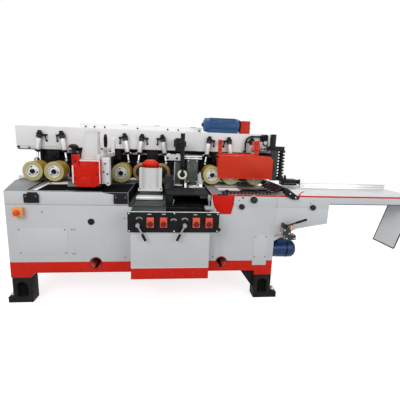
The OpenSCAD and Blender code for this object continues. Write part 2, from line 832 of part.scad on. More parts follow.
module hood_cap() {
    color(red) translate([near_x, near_y - 40, hood_z + hood_h]) {
        cylinder(h = 30, r = 60);
        translate([0, 0, 30]) cylinder(h = 22, r1 = 60, r2 = 38);
    }
}

module near_spindle() {
    color(steel) translate([near_x, near_y, 0]) {
        translate([0, 0, 486]) cylinder(h = 290, r = near_spindle_r);
        translate([0, 0, hood_z + 8]) cylinder(h = 90, r = near_cutter_r);
    }
}

module far_spindle() {
    color(steel) translate([far_x, far_y, 0]) {
        translate([0, 0, 560]) cylinder(h = 260, r = spindle_r);
        translate([0, 0, bed_z + 4]) cylinder(h = 76, r = far_cutter_r);
    }
}

module bottom_spindle() {
    color(steel) {
        along_y(bottom_spindle_x, bottom_spindle_z, 0, 340, spindle_r);
        along_y(bottom_spindle_x, bottom_spindle_z, 2, roller_w, cutter_r);
    }
}

module top_spindle() {
    color(steel) {
        along_y(top_spindle_x, top_spindle_z, -40, 345, spindle_r);
        along_y(top_spindle_x, top_spindle_z, 0, 130, cutter_r);
    }
}

module feed_head(i) {
    unit = units[i - 1];
    x = unit[0];
    eye_x = x + unit[1] * eye_out;
    arm_x = [min(x, eye_x) - 12, max(x, eye_x) + 12];
    color(iron) {
        difference() {
            union() {
                span([x - 32, x + 32], [head_y0, head_y1], [roller_z - 34, roller_z + 36]);
                span(arm_x, [rod_y - 12, rod_y + 12], [roller_z + 35, eye_z - 4]);
                along_y(eye_x, eye_z, rod_y - 12, rod_y + 12, 16);
            }
            along_y(x, roller_z, head_y0 - 1, head_y1 + 1, shaft_r + run_gap);
        }
        on_cylinder(unit) cylinder(h = rod_l, r = rod_r);
    }
}

module feed_roller(i) {
    unit = units[i - 1];
    x = unit[0];
    y0 = unit[2];
    y1 = roller_w;
    hub_r = 46;
    groove = 4;
    mid = (y0 + y1) / 2;
    tyres = y0 > 0 ? [[y0, y1]] : [[y0, mid - groove], [mid + groove, y1]];
    color(steel) {
        difference() {
            along_y(x, roller_z, y0, y1, hub_r);
            along_y(x, roller_z, y0 - 1, y0 + 10, hub_r - 8);
        }
        along_y(x, roller_z, y0 - 6, head_y1 - 1, shaft_r);
        along_y(x, roller_z, y0 - 4, y0 + 11, shaft_r + 9);
    }
    color(amber) for (t = tyres) difference() {
        along_y(x, roller_z, t[0], t[1], roller_r);
        along_y(x, roller_z, t[0] - 1, t[1] + 1, hub_r + part_gap);
    }
}

base_frame();
base_skirts();
feet();
lifting_tubes();
front_housing();
machine_bed();
guide_fence();
infeed_bracket();
spindle_cover();
front_fittings();
control_panel();
switch_boxes();
lift_columns();
lower_motor();
pump_body();
infeed_table();
end_panel();
beam();
feed_gearboxes();
air_cylinders();
air_hoses();
feed_motor();
top_spindle_housing();
top_hood();
guard_posts();
pressure_hangers();
hanger_spring();
roller_guard();
press_wheel();
spindle_carriage();
spindle_hood();
hood_cap();
near_spindle();
far_spindle();
bottom_spindle();
top_spindle();
for (i = [1 : 4]) stop_button(i);
for (i = [1 : 2]) lock_lever(i);
estop_button();
pump_lever();
for (i = [1 : len(units)]) feed_head(i);
for (i = [1 : len(units)]) feed_roller(i);
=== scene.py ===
"""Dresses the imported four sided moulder: castings, feed gear, guards, controls, finishes and the studio."""
import itertools
import json
import math
from collections import namedtuple

import bpy
from bpy.props import FloatProperty, FloatVectorProperty, IntProperty, PointerProperty
from mathutils import Matrix, Vector

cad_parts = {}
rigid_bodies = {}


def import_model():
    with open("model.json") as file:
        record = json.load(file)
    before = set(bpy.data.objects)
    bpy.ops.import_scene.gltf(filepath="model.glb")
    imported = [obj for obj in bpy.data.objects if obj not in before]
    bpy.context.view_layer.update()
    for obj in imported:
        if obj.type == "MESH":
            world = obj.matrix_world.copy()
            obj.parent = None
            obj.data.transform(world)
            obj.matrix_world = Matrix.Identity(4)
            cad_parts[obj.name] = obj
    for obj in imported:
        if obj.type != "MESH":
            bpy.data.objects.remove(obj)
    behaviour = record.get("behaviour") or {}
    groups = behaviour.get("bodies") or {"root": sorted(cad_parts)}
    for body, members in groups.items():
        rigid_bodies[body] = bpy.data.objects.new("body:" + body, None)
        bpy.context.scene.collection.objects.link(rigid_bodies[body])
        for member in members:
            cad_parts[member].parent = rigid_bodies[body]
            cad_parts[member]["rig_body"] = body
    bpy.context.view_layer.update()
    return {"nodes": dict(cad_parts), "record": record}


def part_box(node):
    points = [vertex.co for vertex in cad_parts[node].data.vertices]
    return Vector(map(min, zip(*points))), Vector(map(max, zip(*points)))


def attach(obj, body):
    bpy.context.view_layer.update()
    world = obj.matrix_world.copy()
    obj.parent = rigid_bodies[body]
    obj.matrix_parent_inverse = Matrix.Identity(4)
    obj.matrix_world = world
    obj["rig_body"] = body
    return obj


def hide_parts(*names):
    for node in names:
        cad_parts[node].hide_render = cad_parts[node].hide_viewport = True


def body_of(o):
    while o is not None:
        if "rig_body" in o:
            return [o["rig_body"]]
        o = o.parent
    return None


bl_info = {
    "name": "Four sided moulder",
    "version": (1, 0, 0),
    "blender": (4, 5, 0),
    "location": "3D View > Sidebar > Moulder",
    "description": "Dresses a packed four sided moulder with castings, feed rollers, guards and controls",
    "category": "Object",
}

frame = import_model()
NODES = frame["nodes"]
MM = 0.001
WELD = 0.00001
FLAT_ANGLE = math.radians(0.4)
SHARP_ANGLE = math.radians(32)
SMOOTH_ANGLE = math.radians(38)
SOCKET_WALL = 0.42
UP = Vector((0, 0, 1))
TO_FRONT = Vector((0, -1, 0))
TO_BACK = Vector((0, 1, 0))
TO_RIGHT = Vector((1, 0, 0))
TO_LEFT = Vector((-1, 0, 0))

# Places and sizes of the machine that pieces go by, in millimetres
WELL_X = (-125, 395)
SLIDE_END = 108
NEAR_HOOD = (-7, -48)
SPRING = (1000, 60)
DRIVE_X = (-765.5, -297.5, -8, 521.5, 710.5)
SWITCH_X = (17, 95, 289, 366)
LEVER_X = (-56, 221)
END_SHEET = 12
ROLLER_Z = 800
# Each feed unit: X of its roller, the side that its cylinder stands on, and Y of the roller's face
FEED_UNITS = (
    (-838, -1, 0), (-693, 1, 0), (-225, 1, 0), (-80.5, -1, 90),
    (64.5, 1, 90), (449, -1, 0), (594, 1, 0), (783, 1, 0))
# Eye at the foot of each cylinder: its distance from the roller's axis, its Y and Z, and the cylinder's lean
EYE_OUT, EYE_Y, EYE_Z = 36.5, 176, 870
LEAN = math.atan(0.15)


class MoulderSizes(bpy.types.PropertyGroup):
    """Sizes in metres and counts that a user would change."""

    casting_edge: FloatProperty(
        name="Casting edge", description="Rounding of cast and welded edges",
        default=0.003, min=0.0005, max=0.006, unit="LENGTH")
    sheet_edge: FloatProperty(
        name="Sheet edge", description="Rounding of sheet metal edges",
        default=0.0015, min=0.0003, max=0.003, unit="LENGTH")
    motor_fins: IntProperty(
        name="Motor fins", description="Cooling fins round the feed motor", default=22, min=8, max=48)
    cutter_knives: IntProperty(
        name="Cutter knives", description="Knives round each cutter head", default=4, min=2, max=8)
    tooth_count: IntProperty(
        name="Kickback fingers", description="Fingers across the infeed", default=14, min=4, max=30)


def colour(label, text, value):
    """One colour setting, as linear light."""
    return FloatVectorProperty(
        name=label, description=text, default=value, min=0.0, max=1.0, size=3, subtype="COLOR")


class MoulderColours(bpy.types.PropertyGroup):
    """Colours that a user would change."""

    body: colour("Body", "Light grey enamel of the castings", (0.575, 0.595, 0.61))
    pale: colour("Pale", "Paler enamel of housing, duct and near hood", (0.70, 0.705, 0.70))
    red: colour("Red", "Red enamel of skirts and hoods", (0.60, 0.010, 0.002))
    guard: colour("Guard", "Softer red of the roller guard", (0.60, 0.036, 0.012))
    blue: colour("Blue", "Blue enamel of the motors", (0.030, 0.092, 0.225))
    black: colour("Black", "Black enamel of the pressure gear", (0.008, 0.008, 0.009))
    foot: colour("Foot", "Cast iron of the feet", (0.013, 0.012, 0.012))
    # The tyre colour, on the running surface, is darkened as painted shade, and the tyre face colour, on the
    # front face, is lightened as painted light.
    tyre: colour("Tyre", "Running surface of the feed tyres", (0.29, 0.18, 0.014))
    tyre_lit_face: colour("Tyre face", "Cut face of the feed tyres", (0.48, 0.43, 0.19))
    beam: colour("Beam", "Enamel of the beam", (0.78, 0.785, 0.785))
    # The light colour is the end panel's enamel lightened to make up for its shade: painted light.
    light: colour("Light", "Lightest enamel, on the end panel", (0.90, 0.915, 0.94))
    orange: colour("Orange", "Switch boxes of the start kind", (0.72, 0.105, 0.05))
    coral: colour("Coral", "Switch boxes of the stop kind", (0.70, 0.085, 0.045))
    button: colour("Button", "Stop buttons", (0.17, 0.004, 0.004))
    ground: colour("Ground iron", "Ground top of the bed", (0.225, 0.23, 0.235))
    steel: colour("Steel", "Bright steel", (0.62, 0.62, 0.63))


# Selection and finishing of meshes


def leave_edit():
    """Goes back to object mode."""
    bpy.ops.object.mode_set(mode="OBJECT")


def deselect():
    """Leaves nothing selected, so that an operator acts on what it adds alone."""
    if bpy.context.mode != "OBJECT":
        leave_edit()
    bpy.ops.object.select_all(action="DESELECT")


def only(obj):
    """Makes obj the one selected and active object."""
    deselect()
    obj.select_set(True)
    bpy.context.view_layer.objects.active = obj


def edit_all(obj):
    """Opens obj in edit mode with everything selected."""
    only(obj)
    bpy.ops.object.mode_set(mode="EDIT")
    bpy.ops.mesh.select_mode(type="FACE")
    bpy.ops.mesh.select_all(action="SELECT")


def extrude(x, y, z):
    """Draws the selected face out, in millimetres."""
    bpy.ops.mesh.extrude_region_move(TRANSFORM_OT_translate={"value": (x * MM, y * MM, z * MM)})


def close_up():
    """Turns every face outward and leaves edit mode."""
    bpy.ops.mesh.select_all(action="SELECT")
    bpy.ops.mesh.normals_make_consistent(inside=False)
    leave_edit()


def apply_place(obj):
    """Puts the object's place into its mesh."""
    only(obj)
    bpy.ops.object.transform_apply(location=True, rotation=True, scale=True)
    return obj


def apply_bevel(obj, width, segments=2, material=-1):
    """Rounds the sharp edges of obj by width in metres."""
    only(obj)
    bpy.ops.object.modifier_add(type="BEVEL")
    bevel = obj.modifiers[-1]
    bevel.width = width
    bevel.segments = segments
    bevel.limit_method = "ANGLE"
    bevel.angle_limit = SHARP_ANGLE
    bevel.material = material
    bpy.ops.object.modifier_apply(modifier=bevel.name)
    return obj


def joined(objs):
    """One object out of several."""
    only(objs[0])
    for obj in objs[1:]:
        obj.select_set(True)
    if len(objs) > 1:
        bpy.ops.object.join()
    return bpy.context.view_layer.objects.active


def skin(name):
    """Finish of this name; the prefix keeps it apart from the frame's own materials."""
    return bpy.data.materials["finish_" + name]


def paint(obj, name):
    """Gives every face of obj this finish."""
    obj.data.materials.clear()
    obj.data.materials.append(skin(name))
    return obj


def settle(obj, name, body):
    """Names a finished piece, smooths its round faces and lets it ride on its body."""
    only(obj)
    bpy.ops.object.shade_smooth_by_angle(angle=SMOOTH_ANGLE)
    obj.name = name
    obj.data.name = name
    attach(obj, body)
    return obj


def piece(name, body, finish, *objs, slot=None):
    """Makes one piece in one finish out of objs; slot is not used."""
    return settle(paint(joined(objs), finish), name, body)


# Places, in millimetres of the machine's frame


Corner = namedtuple("Corner", "x y z")


def corners(name):
    """Low and high corner of a CAD node."""
    return [Corner(*(value / MM for value in corner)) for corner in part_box(name)]


def grid(*axes):
    """Every point that X, Y and Z make; each of them is a number or several."""
    return list(itertools.product(*((axis,) if isinstance(axis, (int, float)) else axis for axis in axes)))


def round_points(centre, radius, angles):
    """Points round a centre, in the plane of X and Z, at angles in degrees."""
    x, y, z = centre
    turns = [math.radians(angle) for angle in angles]
    return [(x + radius * math.cos(turn), y, z + radius * math.sin(turn)) for turn in turns]


def moved(place):
    """Matrix that moves to a place."""
    return Matrix.Translation(Vector(place) * MM)


def turn_to(axis):
    """Matrix that turns Z to axis."""
    return UP.rotation_difference(Vector(axis)).to_matrix().to_4x4()


def on_cylinder(unit, distance):
    """Point on the leaning axis of a feed unit's air cylinder, and the axis."""
    x, side, _ = unit
    axis = Vector((-side * math.sin(LEAN), 0, math.cos(LEAN)))
    return Vector((x + side * EYE_OUT, EYE_Y, EYE_Z)) + axis * distance, axis


# Shapes, in millimetres of the machine's frame


def span(x, y, z, edge=1.0, segments=2):
    """Box between two corners with all its edges rounded."""
    deselect()
    centre = Vector((sum(x), sum(y), sum(z))) * MM / 2
    bpy.ops.mesh.primitive_cube_add(size=1, location=centre)
    obj = bpy.context.object
    obj.scale = Vector((x[1] - x[0], y[1] - y[0], z[1] - z[0])) * MM
    apply_place(obj)
    edit_all(obj)
    bpy.ops.mesh.bevel(offset=edge * MM, segments=segments, affect="EDGES", clamp_overlap=True)
    leave_edit()
    return obj


def polygon(count, radius, height=0.0):
    """Flat polygon round the Z axis, its sizes in metres."""
    deselect()
    bpy.ops.mesh.primitive_circle_add(
        vertices=count, radius=radius, fill_type="NGON", location=(0, 0, height))
    return apply_place(bpy.context.object)


def turned(start, axis, profile, sides=40, socket=0.0):
    """Round piece: a disc at start drawn out along axis, through (distance, radius) pairs.

    A socket is the depth of the recess in its end.
    """
    at, radius = profile[0]
    obj = polygon(sides, radius * MM, at * MM)
    edit_all(obj)
    for distance, wide in profile[1:]:
        extrude(0, 0, distance - at)
        grow = wide / radius
        bpy.ops.transform.resize(value=(grow, grow, 1), center_override=(0, 0, distance * MM))
        at, radius = distance, wide
    if socket:
        bpy.ops.mesh.inset(thickness=radius * SOCKET_WALL * MM)
        extrude(0, 0, -socket)
    close_up()
    obj.data.transform(moved(start) @ turn_to(axis))
    return obj


def plate(points, y, edge=1.0):
    """Outline in X and Z drawn out along Y, with rounded edges."""
    obj = polygon(len(points), 1)
    for vertex, point in zip(obj.data.vertices, points):
        vertex.co = Vector((point[0], y[0], point[1])) * MM
    edit_all(obj)
    extrude(0, y[1] - y[0], 0)
    close_up()
    return apply_bevel(obj, edge * MM)


def plate_x(points, x, edge=0.8):
    """Outline in Y and Z drawn out along X, with rounded edges."""
    obj = plate(points, (-x[1], -x[0]), edge)
    obj.data.transform(Matrix.Rotation(math.radians(90), 4, "Z"))
    return obj


def slab(points, z, edge=0.3):
    """Outline in X and Y drawn out along Z, with rounded edges."""
    obj = plate(points, (-z[1], -z[0]), edge)
    obj.data.transform(Matrix.Rotation(math.radians(-90), 4, "X"))
    return obj


def tube(points, radius, closed=False, smooth=True):
    """Round tube along points."""
    deselect()
    bpy.ops.curve.primitive_bezier_curve_add()
    obj = bpy.context.object
    obj.matrix_world = Matrix.Identity(4)
    curve = obj.data
    curve.splines.clear()
    spline = curve.splines.new("BEZIER" if smooth else "POLY")
    if smooth:
        spline.bezier_points.add(len(points) - 1)
        for knot, point in zip(spline.bezier_points, points):
            knot.co = Vector(point) * MM
            knot.handle_left_type = "AUTO"
            knot.handle_right_type = "AUTO"
    else:
        spline.points.add(len(points) - 1)
        for knot, point in zip(spline.points, points):
            knot.co = (*(Vector(point) * MM), 1)
    spline.use_cyclic_u = closed
    curve.dimensions = "3D"
    curve.resolution_u = 6
    curve.bevel_depth = radius * MM
    curve.bevel_resolution = 4
    curve.use_fill_caps = True
    only(obj)
    bpy.ops.object.convert(target="MESH")
    obj = bpy.context.object
    edit_all(obj)
    bpy.ops.mesh.remove_doubles(threshold=WELD)
    close_up()
    return obj


def copies(model, matrices):
    """Copies of a modelled piece, each with its own mesh; the model itself goes."""
    made = []
    for matrix in matrices:
        obj = model.copy()
        obj.data = model.data.copy()
        bpy.context.scene.collection.objects.link(obj)
        obj.data.transform(matrix)
        made.append(obj)
    bpy.data.objects.remove(model, do_unlink=True)
    return made


def fins_round(fin, y, z, angles):
    """Copies of a fin round the axis of a motor that lies along X, at angles in degrees."""
    return copies(fin, [moved((0, y, z)) @ Matrix.Rotation(math.radians(angle), 4, "X") for angle in angles])


def vent_shades(x, y, z, reach, pitch, half, edge):
    """Row of dark strips across the end of a motor: painted shade in its vent slots."""
    levels = [z + row * pitch for row in range(-3, 4)]
    return [span(x, (y - reach, y + reach), (level - half, level + half), edge) for level in levels]


def screws(name, body, places, axis, radius=6.0, height=5.0, finish="screw_black", slot=None):
    """Socket screws at these places, standing out along axis, as one piece."""
    profile = [(-1, radius), (height * 0.8, radius), (height, radius * 0.86)]
    model = turned((0, 0, 0), UP, profile, 20, height * 0.5)
    turn = turn_to(axis)
    made = copies(model, [moved(place) @ turn for place in places])
    return piece(name, body, finish, *made, slot=slot)


def paint_faces(obj, base, face_finish):
    """Gives each face the finish that face_finish names for its centre and normal."""
    names = [base]
    for face in obj.data.polygons:
        name = face_finish(face.center / MM, face.normal) or base
        if name not in names:
            names.append(name)
            obj.data.materials.append(skin(name))
        face.material_index = names.index(name)


def dressed(node_name, edge, finish="body_enamel", edge_finish=None,
            part_finish=None, face_finish=None, segments=2, cuts=()):
    """Rounded copy of a CAD node that stands for it.

    part_finish(low, high) names the finish of each loose solid from its corners in millimetres,
    face_finish(centre, normal) that of each face, and edge_finish that of the rounded edges.
    Each cut, a point and a normal, divides the faces that it crosses.
    """
    source = NODES[node_name]
    obj = source.copy()
    obj.data = source.data.copy()
    for key in list(obj.keys()):
        del obj[key]
    obj.parent = None
    obj.matrix_world = Matrix.Identity(4)
    bpy.context.scene.collection.objects.link(obj)
    edit_all(obj)
    bpy.ops.mesh.remove_doubles(threshold=WELD)
    bpy.ops.mesh.dissolve_limited(angle_limit=FLAT_ANGLE)
    for point, normal in cuts:
        bpy.ops.mesh.select_all(action="SELECT")
        bpy.ops.mesh.bisect(plane_co=Vector(point) * MM, plane_no=normal)
    parts = [obj]
    if part_finish:
        bpy.ops.mesh.select_all(action="SELECT")
        bpy.ops.mesh.separate(type="LOOSE")
        leave_edit()
        parts = list(bpy.context.selected_objects)
    leave_edit()
    for part in parts:
        base = finish
        if part_finish:
            axes = list(zip(*(vertex.co / MM for vertex in part.data.vertices)))
            base = part_finish(Corner(*map(min, axes)), Corner(*map(max, axes))) or finish
        paint(part, base)
        if face_finish:
            paint_faces(part, base, face_finish)
        material = -1
        if edge_finish and base == finish:
            part.data.materials.append(skin(edge_finish))
            material = len(part.data.materials) - 1
        if edge:
            apply_bevel(part, edge, segments, material)
    whole = joined(parts)
    body = body_of(source)[0]
    settle(whole, node_name + "_finished", body)
    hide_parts(node_name)
    return whole


# Finishes


def node(tree, kind, inputs=None, **settings):
    """Adds a shader node, sets it up and links or fills its inputs."""
    made = tree.nodes.new(kind)
    for key, value in settings.items():
        setattr(made, key, value)
    for key, value in (inputs or {}).items():
        if isinstance(value, bpy.types.NodeSocket):
            tree.links.new(value, made.inputs[key])
        else:
            made.inputs[key].default_value = value
    return made


def new_group(name, inputs):
    """Shader node group with these inputs: its tree, its input sockets and the object's coordinates."""
    tree = bpy.data.node_groups.new(name, "ShaderNodeTree")
    for label, kind, default in inputs:
        socket = tree.interface.new_socket(label, in_out="INPUT", socket_type="NodeSocket" + kind)
        socket.default_value = default
    for label, kind in (("Color", "Color"), ("Roughness", "Float"), ("Height", "Float")):
        tree.interface.new_socket(label, in_out="OUTPUT", socket_type="NodeSocket" + kind)
    into = tree.nodes.new("NodeGroupInput").outputs
    return tree, into, node(tree, "ShaderNodeTexCoord").outputs["Object"]


def end_group(tree, tone, rough, gloss, height):
    """Adds the change in roughness to the gloss setting and links the group's outputs."""
    whole = maths(tree, "ADD", rough, gloss)
    node(tree, "NodeGroupOutput", {"Color": tone, "Roughness": whole, "Height": height})


def noise(tree, where, scale, detail=3.0, rough=0.55):
    """Noise value at a place."""
    inputs = {"Vector": where, "Scale": scale, "Detail": detail, "Roughness": rough}
    return node(tree, "ShaderNodeTexNoise", inputs).outputs["Fac"]


def remap(tree, value, low, high, to_low, to_high):
    """Value moved from one range to another and held there."""
    made = node(tree, "ShaderNodeMapRange", {
        "Value": value, "From Min": low, "From Max": high, "To Min": to_low, "To Max": to_high})
    return made.outputs["Result"]


def maths(tree, operation, a, b):
    """Sum, product or like result of two values."""
    return node(tree, "ShaderNodeMath", {0: a, 1: b}, operation=operation).outputs[0]


def mix(tree, factor, a, b, blend="MIX"):
    """Mix of two colours."""
    made = node(tree, "ShaderNodeMix", {0: factor, 6: a, 7: b}, data_type="RGBA", blend_type=blend)
    return made.outputs[2]


def enamel_group():
    """Sprayed enamel: soft tone changes, rub marks, chips, dust low down and orange peel."""
    tree, into, where = new_group("Enamel skin", (
        ("Paint", "Color", (0.8, 0.8, 0.8, 1)), ("Bare", "Color", (0.5, 0.5, 0.5, 1)),
        ("Wear", "Float", 0.1), ("Dust", "Float", 0.2), ("Gloss", "Float", 0.35)))
    broad = noise(tree, where, 2.3, 4.0)
    rub = noise(tree, where, 38.0, 6.0, 0.7)
    fine = noise(tree, where, 420.0, 2.0)
    shade = remap(tree, broad, 0.35, 0.7, 0.0, 0.10)
    tone = mix(tree, shade, into["Paint"], (0.30, 0.31, 0.33, 1), "MULTIPLY")
    height = node(tree, "ShaderNodeSeparateXYZ", {"Vector": where}).outputs["Z"]
    low_down = remap(tree, height, 0.0, 0.45, 1.0, 0.12)
    dust = maths(tree, "MULTIPLY", low_down, into["Dust"])
    dust = maths(tree, "MULTIPLY", dust, remap(tree, rub, 0.35, 0.7, 0.2, 1.0))
    tone = mix(tree, dust, tone, (0.36, 0.33, 0.28, 1))
    chips = maths(tree, "MULTIPLY", remap(tree, rub, 0.56, 0.64, 0.0, 1.0), into["Wear"])
    tone = mix(tree, chips, tone, into["Bare"])
    end_group(tree, tone, remap(tree, rub, 0.3, 0.75, -0.05, 0.10), into["Gloss"], fine)


def grain_group():
    """Ground or turned metal: fine lines along one way, and stains."""
    tree, into, where = new_group("Metal grain", (
        ("Tone", "Color", (0.6, 0.6, 0.6, 1)), ("Stretch", "Vector", (1, 1, 1)),
        ("Stain", "Float", 0.2), ("Gloss", "Float", 0.3)))
    stretched = {0: where, 1: into["Stretch"]}
    along = node(tree, "ShaderNodeVectorMath", stretched, operation="MULTIPLY").outputs[0]
    lines = noise(tree, along, 1.0, 3.0, 0.6)
    cloud = noise(tree, where, 5.0, 5.0)
    shade = remap(tree, lines, 0.3, 0.7, 0.0, 0.35)
    tone = mix(tree, shade, into["Tone"], (0.55, 0.55, 0.56, 1), "MULTIPLY")
    stain = maths(tree, "MULTIPLY", remap(tree, cloud, 0.45, 0.68, 0.0, 1.0), into["Stain"])
    tone = mix(tree, stain, tone, (0.13, 0.12, 0.11, 1))
    end_group(tree, tone, remap(tree, lines, 0.25, 0.75, -0.08, 0.12), into["Gloss"], lines)


def cast_group():
    """Rough casting, rubber or moulded plastic: pebbled skin with paler rubbed spots."""
    tree, into, where = new_group("Cast skin", (
        ("Tone", "Color", (0.1, 0.1, 0.1, 1)), ("Rubbed", "Color", (0.3, 0.3, 0.3, 1)),
        ("Pebble", "Float", 160.0), ("Rub", "Float", 0.3), ("Gloss", "Float", 0.5)))
    grains = {"Vector": where, "Scale": into["Pebble"], "Detail": 4.0}
    pebble = node(tree, "ShaderNodeTexNoise", grains).outputs["Fac"]
    patch = noise(tree, where, 14.0, 5.0, 0.65)
    rub = maths(tree, "MULTIPLY", remap(tree, patch, 0.5, 0.72, 0.0, 1.0), into["Rub"])
    tone = mix(tree, rub, into["Tone"], into["Rubbed"])
    end_group(tree, tone, remap(tree, patch, 0.3, 0.7, 0.08, -0.08), into["Gloss"], pebble)


def finish(name, group, values, metallic=0.0, bump=0.1, reach=0.0004, shine=0.25):
    """Material built on one of the skins, with its own values; a colour gets full alpha."""
    material = bpy.data.materials.new("finish_" + name)
    material.use_nodes = True
    tree = material.node_tree
    shader = tree.nodes["Principled BSDF"]
    surface = node(tree, "ShaderNodeGroup", node_tree=bpy.data.node_groups[group])
    for key, value in values.items():
        socket = surface.inputs[key]
        socket.default_value = (*value, 1.0) if socket.type == "RGBA" else value
    height = {"Strength": bump, "Distance": reach, "Height": surface.outputs["Height"]}
    bumps = node(tree, "ShaderNodeBump", height)
    tree.links.new(surface.outputs["Color"], shader.inputs["Base Color"])
    tree.links.new(surface.outputs["Roughness"], shader.inputs["Roughness"])
    tree.links.new(bumps.outputs["Normal"], shader.inputs["Normal"])
    shader.inputs["Metallic"].default_value = metallic
    shader.inputs["Specular IOR Level"].default_value = shine


def scaled(tone, *factors):
    """Colour with its red, green and blue multiplied."""
    return tuple(value * factor for value, factor in zip(tone, factors))


